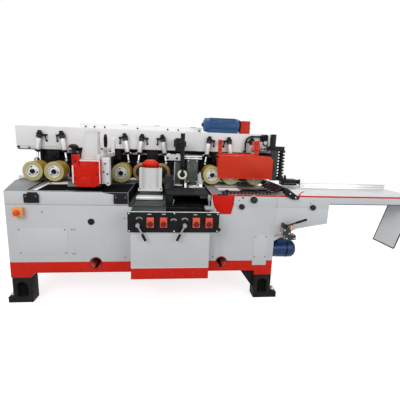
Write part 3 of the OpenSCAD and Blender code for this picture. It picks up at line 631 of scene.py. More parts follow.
class MOULDER_OT_finishes(bpy.types.Operator):
    """Makes every finish of the machine"""

    bl_idname = "moulder.finishes"
    bl_label = "Finishes"

    def execute(self, context):
        tones = context.scene.moulder_colours
        enamel_group()
        grain_group()
        cast_group()
        self.enamels(tones)
        self.metals(tones)
        self.casts(tones)
        return {"FINISHED"}

    def enamels(self, tones):
        """Enamels, each with a second one for worn edges, whose paler worn colour also serves as painted edge
        highlights.
        """
        bare, primer, dark = (0.72, 0.72, 0.71), (0.80, 0.62, 0.58), (0.20, 0.20, 0.20)
        # Name, colour, what shows where it is worn, dust, roughness and shine
        for name, tone, under, dust, gloss, shine in (
                ("body_enamel", tones.body, bare, 0.10, 0.34, 0.12),
                ("pale_enamel", tones.pale, bare, 0.02, 0.34, 0.12),
                ("beam_enamel", tones.beam, bare, 0.02, 0.34, 0.12),
                # Painted light: enamel lightened for the shaded end panel
                ("lit_panel_enamel", tones.light, bare, 0.02, 0.34, 0.12),
                ("duct_enamel", scaled(tones.pale, 0.92, 0.92, 0.92), bare, 0.02, 0.34, 0.12),
                ("red_enamel", tones.red, primer, 0.05, 0.34, 0.12),
                # Painted shade: a darker copy of the red enamel
                ("shaded_red", scaled(tones.red, 0.45, 0.45, 0.45), primer, 0.02, 0.34, 0.12),
                ("guard_enamel", tones.guard, primer, 0.04, 0.34, 0.12),
                ("blue_enamel", tones.blue, bare, 0.05, 0.2, 0.22),
                ("deep_blue", scaled(tones.blue, 0.12, 0.34, 0.50), bare, 0.0, 0.2, 0.22),
                ("reducer_red", scaled(tones.guard, 0.78, 0.78, 0.78), primer, 0.04, 0.34, 0.12),
                ("black_enamel", tones.black, dark, 0.05, 0.34, 0.12)):
            values = {"Paint": tone, "Bare": under, "Wear": 0.02, "Dust": dust, "Gloss": gloss}
            finish(name, "Enamel skin", values, bump=0.06, shine=shine)
            # Worn edges: real chips down to primer or bare metal, also standing in as painted edge highlights
            worn = dict(values, Wear=0.55, Dust=0.0)
            finish(name + "_edge", "Enamel skin", worn, bump=0.05, shine=0.12)

    def metals(self, tones):
        """Ground and turned metals."""
        # Name, colour, fineness of the grain along X, Y and Z, stain, roughness, metallic and bump
        for name, tone, stretch, stain, gloss, metallic, bump in (
                ("ground_iron", tones.ground, (8, 520, 8), 0.30, 0.42, 0.6, 0.06),
                ("table_steel", (0.70, 0.71, 0.72), (8, 520, 8), 0.05, 0.30, 0.6, 0.05),
                ("bright_steel", tones.steel, (90, 420, 90), 0.06, 0.24, 0.95, 0.04),
                ("turned_steel", (0.66, 0.65, 0.64), (60, 700, 60), 0.12, 0.28, 0.95, 0.05),
                ("silver_barrel", (0.86, 0.86, 0.86), (300, 300, 20), 0.02, 0.36, 0.25, 0.03),
                ("copper", (0.66, 0.32, 0.18), (300, 60, 300), 0.15, 0.30, 0.9, 0.04)):
            values = {"Tone": tone, "Stretch": stretch, "Stain": stain, "Gloss": gloss}
            finish(name, "Metal grain", values, metallic, bump)

    def casts(self, tones):
        """Castings, rubbers and plastics."""
        orange, coral, button = (
            (tone, tuple(min(1.0, value * 1.3 + 0.03) for value in tone))
            for tone in (tones.orange, tones.coral, tones.button))
        # Name, colour, rubbed colour, pebbles in a metre, rub, roughness, metallic, bump and shine
        for name, tone, rubbed, pebble, rub, gloss, metallic, bump, shine in (
                ("grey_casting", (0.33, 0.33, 0.33), (0.5, 0.5, 0.5), 160, 0.3, 0.45, 0.3, 0.25, 0.25),
                ("slide_iron", (0.034, 0.043, 0.043), (0.10, 0.11, 0.11), 160, 0.3, 0.45, 0.1, 0.15, 0.15),
                ("smoke_plate", (0.075, 0.085, 0.075), (0.20, 0.22, 0.19), 60, 0.6, 0.3, 0, 0.05, 0.2),
                ("boot_rubber", (0.026, 0.026, 0.027), (0.10, 0.10, 0.10), 160, 0.6, 0.5, 0, 0.3, 0.15),
                ("bowl_red", (0.56, 0.075, 0.07), (0.72, 0.26, 0.24), 90, 0.5, 0.3, 0, 0.05, 0.25),
                # Painted light: bright red for the unlit walls inside the lifting tubes
                ("lit_tube_red", (0.80, 0.17, 0.13), (0.85, 0.36, 0.30), 90, 0.3, 0.4, 0, 0.05, 0.25),
                # Partly worn primer, partly painted highlight on edges
                ("pink_wear_and_glint", (0.76, 0.67, 0.65), (0.80, 0.73, 0.71), 300, 0.3, 0.4, 0, 0.05, 0.25),
                ("foot_iron", tones.foot, (0.05, 0.045, 0.04), 120, 0.3, 0.62, 0, 0.5, 0.10),
                ("drive_iron", (0.010, 0.010, 0.011), (0.05, 0.05, 0.05), 200, 0.3, 0.5, 0, 0.25, 0.10),
                # Painted shade: flat black with no shine for gaps, slots, bores, recesses and the well
                ("shade_black", (0.0085, 0.0085, 0.009), (0.02, 0.02, 0.02), 160, 0.3, 0.8, 0, 0.2, 0.0),
                ("black_plastic", (0.008, 0.008, 0.009), (0.03, 0.03, 0.033), 600, 0.3, 0.44, 0, 0.12, 0.10),
                ("hose_rubber", (0.006, 0.006, 0.007), (0.03, 0.03, 0.03), 500, 0.3, 0.5, 0, 0.1, 0.10),
                # Painted light and shade: the tyre and tyre face finishes are shaded and lit copies of one
                # tyre colour
                ("tyre_amber", tones.tyre, (0.40, 0.28, 0.05), 90, 0.5, 0.36, 0, 0.1, 0.25),
                ("tyre_lit_face", tones.tyre_lit_face, (0.60, 0.55, 0.33), 90, 0.5, 0.40, 0, 0.1, 0.25),
                ("tyre_bronze", (0.42, 0.22, 0.085), (0.55, 0.36, 0.16), 90, 0.5, 0.34, 0.1, 0.1, 0.25),
                ("switch_orange", *orange, 700, 0.3, 0.36, 0, 0.05, 0.25),
                ("switch_coral", *coral, 700, 0.3, 0.36, 0, 0.05, 0.25),
                ("button_red", *button, 700, 0.3, 0.36, 0, 0.05, 0.25),
                ("estop_yellow", (0.84, 0.36, 0.10), (0.88, 0.45, 0.16), 700, 0.3, 0.40, 0, 0.05, 0.25),
                ("estop_red", (0.66, 0.06, 0.012), (0.75, 0.16, 0.06), 700, 0.3, 0.32, 0, 0.05, 0.25),
                ("nylon", (0.78, 0.80, 0.68), (0.88, 0.88, 0.80), 400, 0.3, 0.42, 0, 0.08, 0.25),
                ("screw_black", (0.02, 0.02, 0.021), (0.16, 0.16, 0.16), 400, 0.3, 0.36, 0.6, 0.1, 0.25),
                ("scale_ivory", (0.72, 0.73, 0.70), (0.5, 0.5, 0.48), 500, 0.3, 0.4, 0, 0.05, 0.25),
                ("seam_grey", (0.20, 0.205, 0.21), (0.3, 0.3, 0.3), 400, 0.3, 0.5, 0, 0.1, 0.25)):
            values = {"Tone": tone, "Rubbed": rubbed, "Pebble": pebble, "Rub": rub, "Gloss": gloss}
            reach = 0.001 if name == "foot_iron" else 0.0004
            finish(name, "Cast skin", values, metallic, bump, reach, shine)


# Machine pieces


class MOULDER_OT_base(bpy.types.Operator):
    """Base casting, skirts, feet, lifting tubes, front housing and doors"""

    bl_idname = "moulder.base"
    bl_label = "Base"

    def execute(self, context):
        sizes = context.scene.moulder_sizes
        low, high = corners("base_frame")
        house_low, house_high = corners("front_housing")
        bed_low, bed_high = corners("machine_bed")
        slide_back = -100

        # Painted shade: black on the well's floor and ledge, slide iron where the carriage runs
        def in_well(centre, normal):
            if not WELL_X[0] - 1 < centre.x < WELL_X[1] + 1 or centre.y > bed_high.y:
                return None
            ledge = normal.y < -0.5 and centre.z > house_high.z
            if not ledge and (normal.z < 0.5 or centre.z > high.z + 1):
                return None
            return "slide_iron" if centre.x < SLIDE_END and centre.y < slide_back else "shade_black"

        # Painted shade: black inside the arches of the feet
        def arch_shade(centre, normal):
            inside = 50 < centre.z < 160 and abs(centre.y) < 372 and abs(normal.x) < 0.98
            return "shade_black" if inside else None

        # Painted shade: black on the housing's top beyond the slide
        def housing_top(centre, normal):
            if normal.z < 0.5:
                return None
            return "slide_iron" if centre.x < SLIDE_END else "shade_black"

        # Painted light and shade inside the lifting tubes: dark red front ring and lower wall, black top
        # wall, bright red side walls
        def tube_light_and_shade(centre, normal):
            if abs(normal.y) > 0.7:
                return "button_red"
            if normal.z < -0.4:
                return "shade_black"
            return "lit_tube_red" if abs(normal.x) > 0.3 else "button_red"

        slide_cut = ((SLIDE_END, 0, 0), TO_RIGHT)
        well_cuts = (
            ((WELL_X[0], 0, 0), TO_RIGHT), ((WELL_X[1], 0, 0), TO_RIGHT), ((0, 160, 0), TO_BACK),
            ((0, 0, house_high.z), UP), slide_cut, ((0, slide_back, 0), TO_BACK))
        tube_cuts = (((0, -345, 0), TO_BACK), ((0, 345, 0), TO_BACK))
        dressed("base_frame", sizes.sheet_edge, face_finish=in_well, cuts=well_cuts)
        dressed("base_skirts", sizes.casting_edge * 0.7, "red_enamel", "red_enamel_edge")
        dressed("feet", sizes.casting_edge * 1.3, "foot_iron", face_finish=arch_shade)
        dressed("lifting_tubes", sizes.sheet_edge, "red_enamel", face_finish=tube_light_and_shade, cuts=tube_cuts)
        dressed("front_housing", sizes.sheet_edge, face_finish=housing_top, cuts=(slide_cut,))
        # Painted highlight: a pale strip along the housing's lower edge
        glint_y, glint_z = (house_low.y - 1, house_low.y + 2), (house_low.z, house_low.z + 5)
        piece("housing_glint_strip", "base", "pale_enamel",
              span((house_low.x + 1, house_high.x - 1), glint_y, glint_z, 0.8))
        self.doors(low.y)
        self.seams(low, high, bed_low.z)
        self.foot_parts()
        self.back_panels(high.y)
        return {"FINISHED"}

    def doors(self, front):
        """Flush service doors on the front, with their screws."""
        face = front - 2.5
        piece("service_doors", "base", "body_enamel",
              span((-792, -499), (face, front + 1), (322, 497)),
              span((690, 786), (face, front + 1), (240, 452)))
        spots = grid((-780, -511), face, (335, 484)) + grid((702, 774), face, (300, 440))
        spots += grid((-470, -455), front, (326, 486))
        spots += [(-640, front, 596), (-150, front, 560), (-150, front, 300), (420, front, 300)]
        screws("door_screws", "base", spots, TO_FRONT, 4.5, 2.5, "seam_grey")

    def seams(self, low, high, level):
        """Thin dark joints between the castings."""
        front_z, back_z = (level - 1.2, level + 1.2), (level - 5.2, level - 2.8)
        piece("casting_seams", "base", "seam_grey",
              span((low.x + 2, WELL_X[0]), (low.y - 0.6, low.y + 4), front_z, 0.4, 1),
              span((low.x + 2, high.x - 2), (high.y - 4, high.y + 0.6), back_z, 0.4, 1),
              slot="dark_iron")

    def foot_parts(self):
        """Braces behind the right feet, and levelling bolts with nuts on every floor anchor."""
        outline = [(612, 201), (716, 201), (790, 10), (752, 10)]
        braces = [plate(outline, y, 3.0) for y in ((-352, -300), (300, 352))]
        piece("foot_braces", "base", "foot_iron", *braces)
        if not any(mount["name"] == "floor_anchors" for mount in frame["record"]["mounts"]):
            raise RuntimeError("the frame has no floor anchors")
        nut = turned((0, 0, 0), UP, [(37, 15), (47, 15), (50, 13)], 6)
        washer = turned((0, 0, 0), UP, [(36, 21), (39.5, 21), (40, 20)], 36)
        stud = turned((0, 0, 0), UP, [(30, 8.4), (62, 8.4), (64, 7)], 24)
        places = grid((-861, 861), (-335, 335), 0)
        bolts = copies(joined([nut, washer, stud]), [moved(place) for place in places])
        piece("anchor_bolts", "base", "bright_steel", *bolts)

    def back_panels(self, back):
        """Doors, louvres and latches on the rear of the base."""
        face = back + 4
        door_x = (-800, -250, 290)
        doors = [span((x, x + 520), (back - 1, face), (300, 606), 2.0) for x in door_x]
        piece("rear_doors", "base", "body_enamel", *doors)
        slats = []
        for x, row in itertools.product((-730, 360), range(7)):
            z = 340 + row * 18
            outline = [(x, z), (x + 150, z), (x + 150, z + 9), (x, z + 9)]
            slats.append(plate(outline, (face - 1, face + 5), 2.0))
        piece("rear_louvres", "base", "body_enamel_edge", *slats)
        latches = []
        for x in (-316, 234, 776):
            latches.append(span((x - 9, x + 9), (face - 1, face + 8), (440, 490), 3.0, 3))
            latches.append(turned((x, face + 6, 465), TO_BACK, [(0, 7), (5, 7), (7, 5)], 24, 2.0))
        piece("rear_latches", "base", "black_plastic", *latches)
        screw_x = [x + inset for x in door_x for inset in (14, 506)]
        screws("rear_screws", "base", grid(screw_x, face, (316, 590)), TO_BACK, 5, 3)


class MOULDER_OT_bed(bpy.types.Operator):
    """Bed, guide fence, infeed table with its bracket, and the kickback fingers"""

    bl_idname = "moulder.bed"
    bl_label = "Bed and infeed"

    def execute(self, context):
        sizes = context.scene.moulder_sizes
        bed_z = corners("machine_bed")[1].z

        def bed_face(centre, normal):
            if normal.z > 0.5:
                return "ground_iron"
            # Painted shade: black on the bed's faces inside the well
            in_well = -130 < centre.x < 400 and centre.y > -379 and abs(normal.z) < 0.5
            return "shade_black" if in_well else None

        def table_face(centre, normal):
            return "table_steel" if normal.z > 0.5 or centre.z > bed_z else None

        # Painted shade: the end panel's thin edge faces drawn dark
        def panel_edge_shade(centre, normal):
            return "slide_iron" if abs(normal.y) > 0.5 or normal.z < -0.5 else None

        dressed("machine_bed", sizes.casting_edge * 0.6, face_finish=bed_face)
        dressed("guide_fence", sizes.sheet_edge, "bright_steel")
        dressed("infeed_bracket", sizes.casting_edge, edge_finish="body_enamel_edge")
        dressed("infeed_table", sizes.casting_edge * 0.6, face_finish=table_face)
        # Painted shade on the end panel's rounded edges in seam grey, and painted light in its lightened
        # enamel
        dressed("end_panel", sizes.sheet_edge, "lit_panel_enamel", "seam_grey", face_finish=panel_edge_shade)
        self.panel_shade_strips()
        self.trim(bed_z)
        self.side_pressure(sizes.tooth_count, bed_z)
        self.table_fittings(bed_z)
        self.bed_light_and_shade(bed_z)
        return {"FINISHED"}

    def panel_shade_strips(self):
        """Dark strips along the end panel's foot and rear edge: painted shade."""
        low, high = corners("end_panel")
        top_x = high.x - END_SHEET
        outline = [
            (low.x - 1.5, low.z), (low.x + 4, low.z), (top_x + 4, high.z), (top_x - 1.5, high.z)]
        piece("end_panel_shade_strips", "infeed", "slide_iron",
              span((low.x - 1.5, low.x + 4), (low.y, high.y), (low.z - 0.5, low.z + 7), 0.8),
              plate(outline, (high.y - 7, high.y + 0.5), 0.8))

    def bed_light_and_shade(self, bed_z):
        """Flush plates on the bed: bright ones are painted reflections, black ones painted shade and dark
        reflections, and a dark wedge of painted shade on its front.
        """
        level = (bed_z - 1.0, bed_z + 0.4)
        # Painted reflection: bright plates where the ground bed mirrors the light
        piece("bed_painted_reflections", "base", "silver_barrel",
              slab([(-702, -336), (-680, -340), (-716, 40), (-734, 40)], level),
              slab([(-761, 36), (-690, -58), (-580, -66), (-617, 56)], level),
              span((470, 640), (-60, 72), level, 0.4, 1),
              span((470, 622), (-216, -104), level, 0.4, 1), slot="bed_iron")
        # Painted shade: black plates for shadow and dark reflections on the bed
        piece("bed_painted_shade", "base", "shade_black",
              slab([(-737, -330), (-722, -336), (-783, 70), (-799, 72)], level),
              slab([(-672, -346), (-505, -334), (-574, -92), (-700, -110)], level),
              slab([(-500, -334), (-290, -346), (-322, -150), (-560, -176)], level),
              slab([(-286, -374), (-128, -374), (-128, -10), (-356, -36)], level),
              span((640, 826), (-316, -150), level, 0.4, 1), slot="dark_iron")
        # Painted shade: a dark wedge on the bed's front where it meets the well
        shade_wedge = [(-282, bed_z - 1), (-214, bed_z - 14), (-128, bed_z - 14), (-128, bed_z - 1)]
        piece("bed_shade_wedge", "base", "drive_iron", plate(shade_wedge, (-381, -378), 0.4))

    def trim(self, bed_z):
        """Red line along the front edge of bed and infeed table, and the table's apron and hem."""
        low, high = corners("infeed_table")
        line_y, line_z = (low.y - 1.2, low.y + 2), (bed_z - 11, bed_z - 1)
        piece("bed_trim", "base", "red_enamel", span((548, 829), line_y, line_z, 0.6))
        piece("table_trim", "infeed", "red_enamel", span((low.x + 1, high.x - 1), line_y, line_z, 0.6))
        reach = corners("infeed_bracket")[1].x
        apron_y, apron_z = (low.y - 1.0, low.y + 2), (bed_z - 84, bed_z - 11)
        piece("table_apron", "infeed", "body_enamel", span((low.x + 0.5, reach), apron_y, apron_z, 0.5))
        piece("table_hem", "infeed", "slide_iron",
              span((reach + 1, high.x - 2), line_y, (low.z - 0.5, low.z + 4), 0.8))

    def side_pressure(self, count, bed_z):
        """Row of hanging fingers across the infeed, and the black rule along the bed's front edge."""
        pitch = 460 / count

        def fingers(tip, shoulder, rows):
            outline = [
                (860, bed_z + 46), (880, bed_z + 46), (884, bed_z + 30),
                (shoulder, bed_z + 12), (tip, bed_z + 13)]
            return copies(plate(outline, (0, pitch * 0.55), 1.5), [moved((0, y, 0)) for y in rows])

        rows = [-368 + index * pitch for index in range(count)]
        near = [y for y in rows if y < -40]
        hook = [
            (862, bed_z + 50), (884, bed_z + 50), (972, bed_z - 10), (968, bed_z - 24),
            (925, bed_z - 24), (862, bed_z + 14)]
        piece("kickback_fingers", "infeed", "black_enamel",
              span((862, 884), (-372, 96), (bed_z + 28, bed_z + 50), 3.0, 3),
              *fingers(798, 812, near[::2]), *fingers(814, 828, near[1::2]),
              *fingers(848, 858, rows[len(near):]), plate(hook, (-400, -370), 3.0))
        spots = [(905, -400, bed_z + 14), (944, -400, bed_z - 10)]
        screws("finger_screws", "infeed", spots, TO_FRONT, 5, 3, "bright_steel")
        rail = span((468, 792), (-368, -318), (bed_z - 0.5, bed_z + 12), 2.0)
        profile = [(0, 13), (9, 13), (12, 10)]
        knobs = [turned((x, -343, bed_z + 11), UP, profile, 28, 5) for x in (500, 600, 700, 774)]
        piece("front_rail", "base", "black_enamel", rail, *knobs)
        tick_z = (bed_z + 3, bed_z + 9)
        ticks = [span((x, x + 9), (-368.6, -366), tick_z, 0.4, 1) for x in range(480, 784, 24)]
        piece("rail_ticks", "base", "seam_grey", *ticks)

    def table_fittings(self, bed_z):
        """Screws that hold the fence down, lines along the guide and a little index lever."""
        screw_x = (*range(-960, 100, 132), 430, 560, 690, 800)
        screws("fence_screws", "base", grid(screw_x, 149.5, bed_z + 28), UP, 4.5, 2.5)
        piece("index_lever", "infeed", "red_enamel",
              tube([(982, -372, bed_z + 1), (992, -366, bed_z + 14), (1014, -362, bed_z + 24)], 3.2),
              turned((980, -372, bed_z - 1), UP, [(0, 7), (5, 7), (7, 5.5)], 24))
        top = corners("infeed_table")[1].z
        levels = ((top - 24, top - 22), (top - 5, top - 3.5))
        lines = [span((1000, 1822), (-45.8, -44), level, 0.4, 1) for level in levels]
        piece("guide_lines", "infeed", "seam_grey", *lines, slot="bed_iron")
        spots = grid((900, 1080, 1500, 1640), (-330, 110), bed_z - 1.2)
        screws("table_screws", "infeed", spots, UP, 7, 1.6, "bright_steel")


class MOULDER_OT_front(bpy.types.Operator):
    """Clamp blocks, adjuster caps and the red spindle cover on the front"""

    bl_idname = "moulder.front"
    bl_label = "Front fittings"

    def execute(self, context):
        sizes = context.scene.moulder_sizes
        dressed("front_fittings", sizes.casting_edge * 0.8, "black_enamel", segments=3)
        dressed("spindle_cover", sizes.sheet_edge, "red_enamel", "red_enamel_edge")
        front = corners("base_frame")[0].y
        spots = grid((-722, -664, -199, -141), front - 14, 694)
        screws("clamp_screws", "base", spots, TO_FRONT, 4.5, 3, "seam_grey", "bright_steel")
        sockets, seats = [], []
        for x, z, deep, radius, seat in (
                (594, 644, 16, 18, 24), (671, 690, 18, 22, 29), (1076, 644, 16, 18, 24)):
            profile = [(0, radius * 0.72), (2.4, radius * 0.70), (3, radius * 0.6)]
            sockets.append(turned((x, front - deep + 0.5, z), TO_FRONT, profile, 32, 2.4))
            profile = [(0, seat), (1.2, seat), (1.8, seat - 1)]
            seats.append(turned((x, front + 0.5, z), TO_FRONT, profile))
        piece("adjuster_sockets", "base", "screw_black", *sockets, slot="black_plastic")
        piece("adjuster_seats", "base", "body_enamel_edge", *seats)
        arrows = []
        for x, z in ((600, 702), (1084, 690)):
            outline = [(x - 11, z - 5), (x + 11, z - 5), (x + 1, z + 7)]
            arrows.append(plate(outline, (front - 1, front + 1), 0.4))
            profile = [(-1, 3.5), (1.2, 3.5), (1.8, 2.8)]
            arrows.append(turned((x - 25, front, z - 18), TO_FRONT, profile, 20))
        piece("adjuster_arrows", "base", "black_plastic", *arrows)
        spots = [(x, front - 4, z) for x, z in ((535, 700), (535, 662), (452, 606), (410, 700))]
        screws("cover_screws", "base", spots, TO_FRONT, 5, 3)
        catch = span((430, 500), (front - 5, front + 2), (715, 723), 1.5)
        piece("cover_catch", "base", "black_enamel", catch)
        return {"FINISHED"}


class MOULDER_OT_controls(bpy.types.Operator):
    """Control panel, switches, buttons and levers"""

    bl_idname = "moulder.controls"
    bl_label = "Controls"

    def execute(self, context):
        sizes = context.scene.moulder_sizes

        def box_finish(low, high):
            if high.x < -700:
                return "estop_yellow"
            middle = (low.x + high.x) / 2
            return "switch_orange" if any(abs(middle - x) < 9 for x in SWITCH_X[::2]) else "switch_coral"

        dressed("control_panel", sizes.casting_edge, "black_plastic")
        dressed("switch_boxes", 0.006, "switch_orange", part_finish=box_finish, segments=4)
        low, high = corners("stop_button_1")
        self.switches(corners("switch_boxes")[0].y, (low.z + high.z) / 2)
        for index in range(1, 5):
            dressed(f"stop_button_{index}", 0.003, "button_red", segments=3)
        self.emergency_stop()
        for index, x in enumerate(LEVER_X, 1):
            self.lever(f"lock_lever_{index}", x)
        self.scales()
        self.panel_trim()
        return {"FINISHED"}

    def switches(self, face_y, level):
        """Raised rims round the buttons and lids over the start keys."""
        lids = []
        for index, x in enumerate(SWITCH_X):
            rim = turned((x, face_y + 0.5, level), TO_FRONT, [(0, 19), (2.5, 19), (3.5, 17.8)])
            lid = span((x - 15, x + 15), (face_y - 2.5, face_y + 1), (level + 20, level + 33), 1.6, 3)
            lids.append(paint(joined([rim, lid]), "switch_coral" if index % 2 else "switch_orange"))
        settle(joined(lids), "switch_lids", "base")
        profile = [(0, 17), (0.8, 17), (1.2, 16)]
        rings = [turned((x, face_y - 2.6, level), TO_FRONT, profile) for x in SWITCH_X]
        piece("button_rings", "base", "black_plastic", *rings)

    def emergency_stop(self):
        """Red mushroom button with a domed face, and the ring round its stem."""
        dressed("estop_button", 0.0016, "estop_red", segments=3)
        low, high = corners("estop_button")
        x, z = (low.x + high.x) / 2, (low.z + high.z) / 2
        dome = [(0, 15.2), (2, 14.6), (4, 12.6), (5.4, 9), (6, 5)]
        piece("estop_dome", "estop", "estop_red", turned((x, low.y + 4, z), TO_FRONT, dome))
        rim = round_points((x, low.y + 24.1, z), 16.5, [360 * step / 32 for step in range(32)])
        piece("estop_collar", "base", "estop_red", tube(rim, 0.9, True))

    def lever(self, name, x):
        """Lock lever: grey shaft, black grip and a domed pivot."""
        grip_top = 500

        def face(centre, normal):
            return "grey_casting" if centre.z > grip_top else None

        dressed(name, 0.0012, "black_plastic", face_finish=face, segments=3)
        place = (x, corners(name)[0].y + 1, 553)
        piece(name + "_cap", name, "grey_casting", turned(place, TO_FRONT, [(0, 8), (2, 7.4), (4, 5)], 32))

    def scales(self):
        """Ivory arcs over the levers, and bars over the switches."""
        y = -502.2
        marks = []
        for x, z, radius in ((-48, 575, 24), (154, 568, 22), (221, 571, 24)):
            angles = [142 - 13 * step for step in range(9)]
            marks.append(tube(round_points((x, y, z), radius, angles), 1.3, smooth=False))
            for angle in angles[::2]:
                ends = [round_points((x, y, z), radius - inset, [angle])[0] for inset in (7, 3)]
                marks.append(tube(ends, 0.9, smooth=False))
        for x, z in ((11, 617), (95, 618), (283, 617), (366, 618)):
            marks.append(span((x - 11, x + 11), (y - 0.5, y + 1), (z - 2, z + 2), 0.4, 1))
        piece("panel_scales", "base", "scale_ivory", *marks)

    def panel_trim(self):
        """Bright lip along the panel's top and screws at its corners."""
        low, high = corners("control_panel")
        lip = span((low.x + 1, high.x - 15), (low.y - 1, low.y + 4), (high.z - 2, high.z + 1), 0.8)
        piece("panel_lip", "base", "silver_barrel", lip)
        spots = grid((low.x + 10, high.x - 26), low.y, (low.z + 10, high.z - 10))
        spots += grid(158, low.y, (low.z + 8, high.z - 8))
        screws("panel_screws", "base", spots, TO_FRONT, 4, 2, "bright_steel")


class MOULDER_OT_beam(bpy.types.Operator):
    """Beam with its channel, drives and lifting columns"""

    bl_idname = "moulder.beam"
    bl_label = "Beam"

    def execute(self, context):
        sizes = context.scene.moulder_sizes
        dressed("beam", sizes.casting_edge, "beam_enamel", "beam_enamel_edge")
        dressed("feed_gearboxes", sizes.casting_edge, "drive_iron")
        dressed("lift_columns", sizes.sheet_edge, "slide_iron")
        front = corners("feed_gearboxes")[0].y
        screw_x = [x + offset for x in DRIVE_X for offset in (-32, 32)]
        screws("drive_screws", "beam", grid(screw_x, front, (892, 936)), TO_FRONT, 6, 4)
        profile = [(0, 26), (5, 26), (8, 22)]
        covers = [turned((x, front + 0.5, 914), TO_FRONT, profile, 40, 2) for x in DRIVE_X]
        piece("drive_covers", "beam", "drive_iron", *covers)
        self.channel()
        self.rear_cases()
        self.under_rail()
        self.ends()
        self.valve()
        return {"FINISHED"}

    def channel(self):
        """Bolts and cable brackets along the rear channel."""
        spots = grid((-560, -491, -409, -141, 110, 199, 380), 389, 1136)
        screws("channel_bolts", "beam", spots, TO_FRONT, 7, 5)
        tabs = [span((x - 26, x + 26), (392, 416), (1159, 1165), 1.5) for x in (-250, 20, 330)]
        piece("channel_tabs", "beam", "seam_grey", *tabs, slot="dark_iron")
        spots = grid(range(-570, 400, 160), 420, (1080, 1140))
        screws("channel_rear_bolts", "beam", spots, TO_BACK, 7, 4)

    def rear_cases(self):
        """Ribs, covers and bolts of the two drive cases behind the rollers."""
        back = 386
        rib_y, plate_y = (338, 352), (352, 357)
        pieces, spots = [], []
        for x0, x1, z0, z1 in ((-919.5, -637.5, 805, 950), (-457.5, 850.5, 805, 970)):
            pieces.append(span((x0 + 14, x1 - 14), (back - 1, back + 4), (z0 + 14, z1 - 14), 2.0))
            count = int((x1 - x0) // 130)
            for index in range(count + 1):
                x = x0 + 20 + (x1 - x0 - 40) * index / count
                pieces.append(span((x - 4, x + 4), rib_y, (z0 + 4, z1 - 4), 2.0))
                spots += grid(x, back + 4, (z0 + 26, z1 - 26))
        for x, z in (((-452, 846), (690, 808)), ((-645, -450), (725, 970)), ((-706, -640), (725, 812))):
            pieces.append(span(x, plate_y, z, 1.5))
        piece("drive_case_covers", "beam", "drive_iron", *pieces)
        screws("drive_case_bolts", "beam", spots, TO_BACK, 6, 4, "bright_steel")

    def under_rail(self):
        """Black rail along the beam's underside, the drive shaft and two screws at the left end."""
        steps = (((-600, 905), (958, 972)), ((-720, -610), (936, 950)), ((-1020, -722), (943, 951)))
        piece("under_rail", "beam", "drive_iron", *(span(x, (204, 214), z, 2.0) for x, z in steps))
        shaft = turned((-700, 310, 930), TO_RIGHT, [(0, 12), (1500, 12), (1502, 10)], 24)
        piece("drive_shaft", "beam", "bright_steel", shaft)
        piece("under_plate_screws", "beam", "screw_black",
              turned((-1012, 206, 962), TO_FRONT, [(0, 9), (8, 9), (10, 7)], 24, 3),
              turned((-935, 206, 958), TO_FRONT, [(0, 7), (8, 7), (10, 5)], 24, 3))

    def ends(self):
        """Covers on the beam's ends, with their screws."""
        covers = [span(x, (212, 378), (984, 1106), 1.2) for x in ((-1027, -1024), (984, 987))]
        piece("beam_end_covers", "beam", "pale_enamel_edge", *covers)
        for name, x, way in (("left_end_screws", -1027, TO_LEFT), ("right_end_screws", 987, TO_RIGHT)):
            screws(name, "beam", grid(x, (226, 364), (998, 1092)), way, 5, 3)

    def valve(self):
        """Fittings, disc, nuts and stay of the connection box."""
        plugs = [turned((x, 172, 1112), UP, [(-1, 8), (6, 8), (8, 6)], 6) for x in (892, 907)]
        piece("valve_manifold", "beam", "black_plastic",
              turned((893, 151, 1052), TO_FRONT, [(-2, 24), (3, 24), (5, 21)]),
              turned((853, 175, 1100), TO_RIGHT, [(0, 8.5), (1, 10), (9, 10), (10, 9)], 24), *plugs)
        button = turned((873, 172, 1112), UP, [(-1, 9), (5, 9), (8, 7)], 28)
        piece("valve_button", "beam", "button_red", button)
        piece("valve_stay", "beam", "drive_iron",
              span((846, 974), (196, 201), (926, 972), 2.0), span((880, 926), (150, 200), (938, 956), 3.0))
        disc = turned((893, 146.5, 1052), TO_FRONT, [(0, 15), (3, 15), (5, 13)], 40, 1.5)
        piece("valve_disc", "beam", "scale_ivory", disc)
        nuts = [turned((x, 150.5, 1004), TO_FRONT, [(0, 8), (7, 8), (9, 6)], 6) for x in (863, 887)]
        piece("valve_nuts", "beam", "screw_black", *nuts, slot="black_plastic")


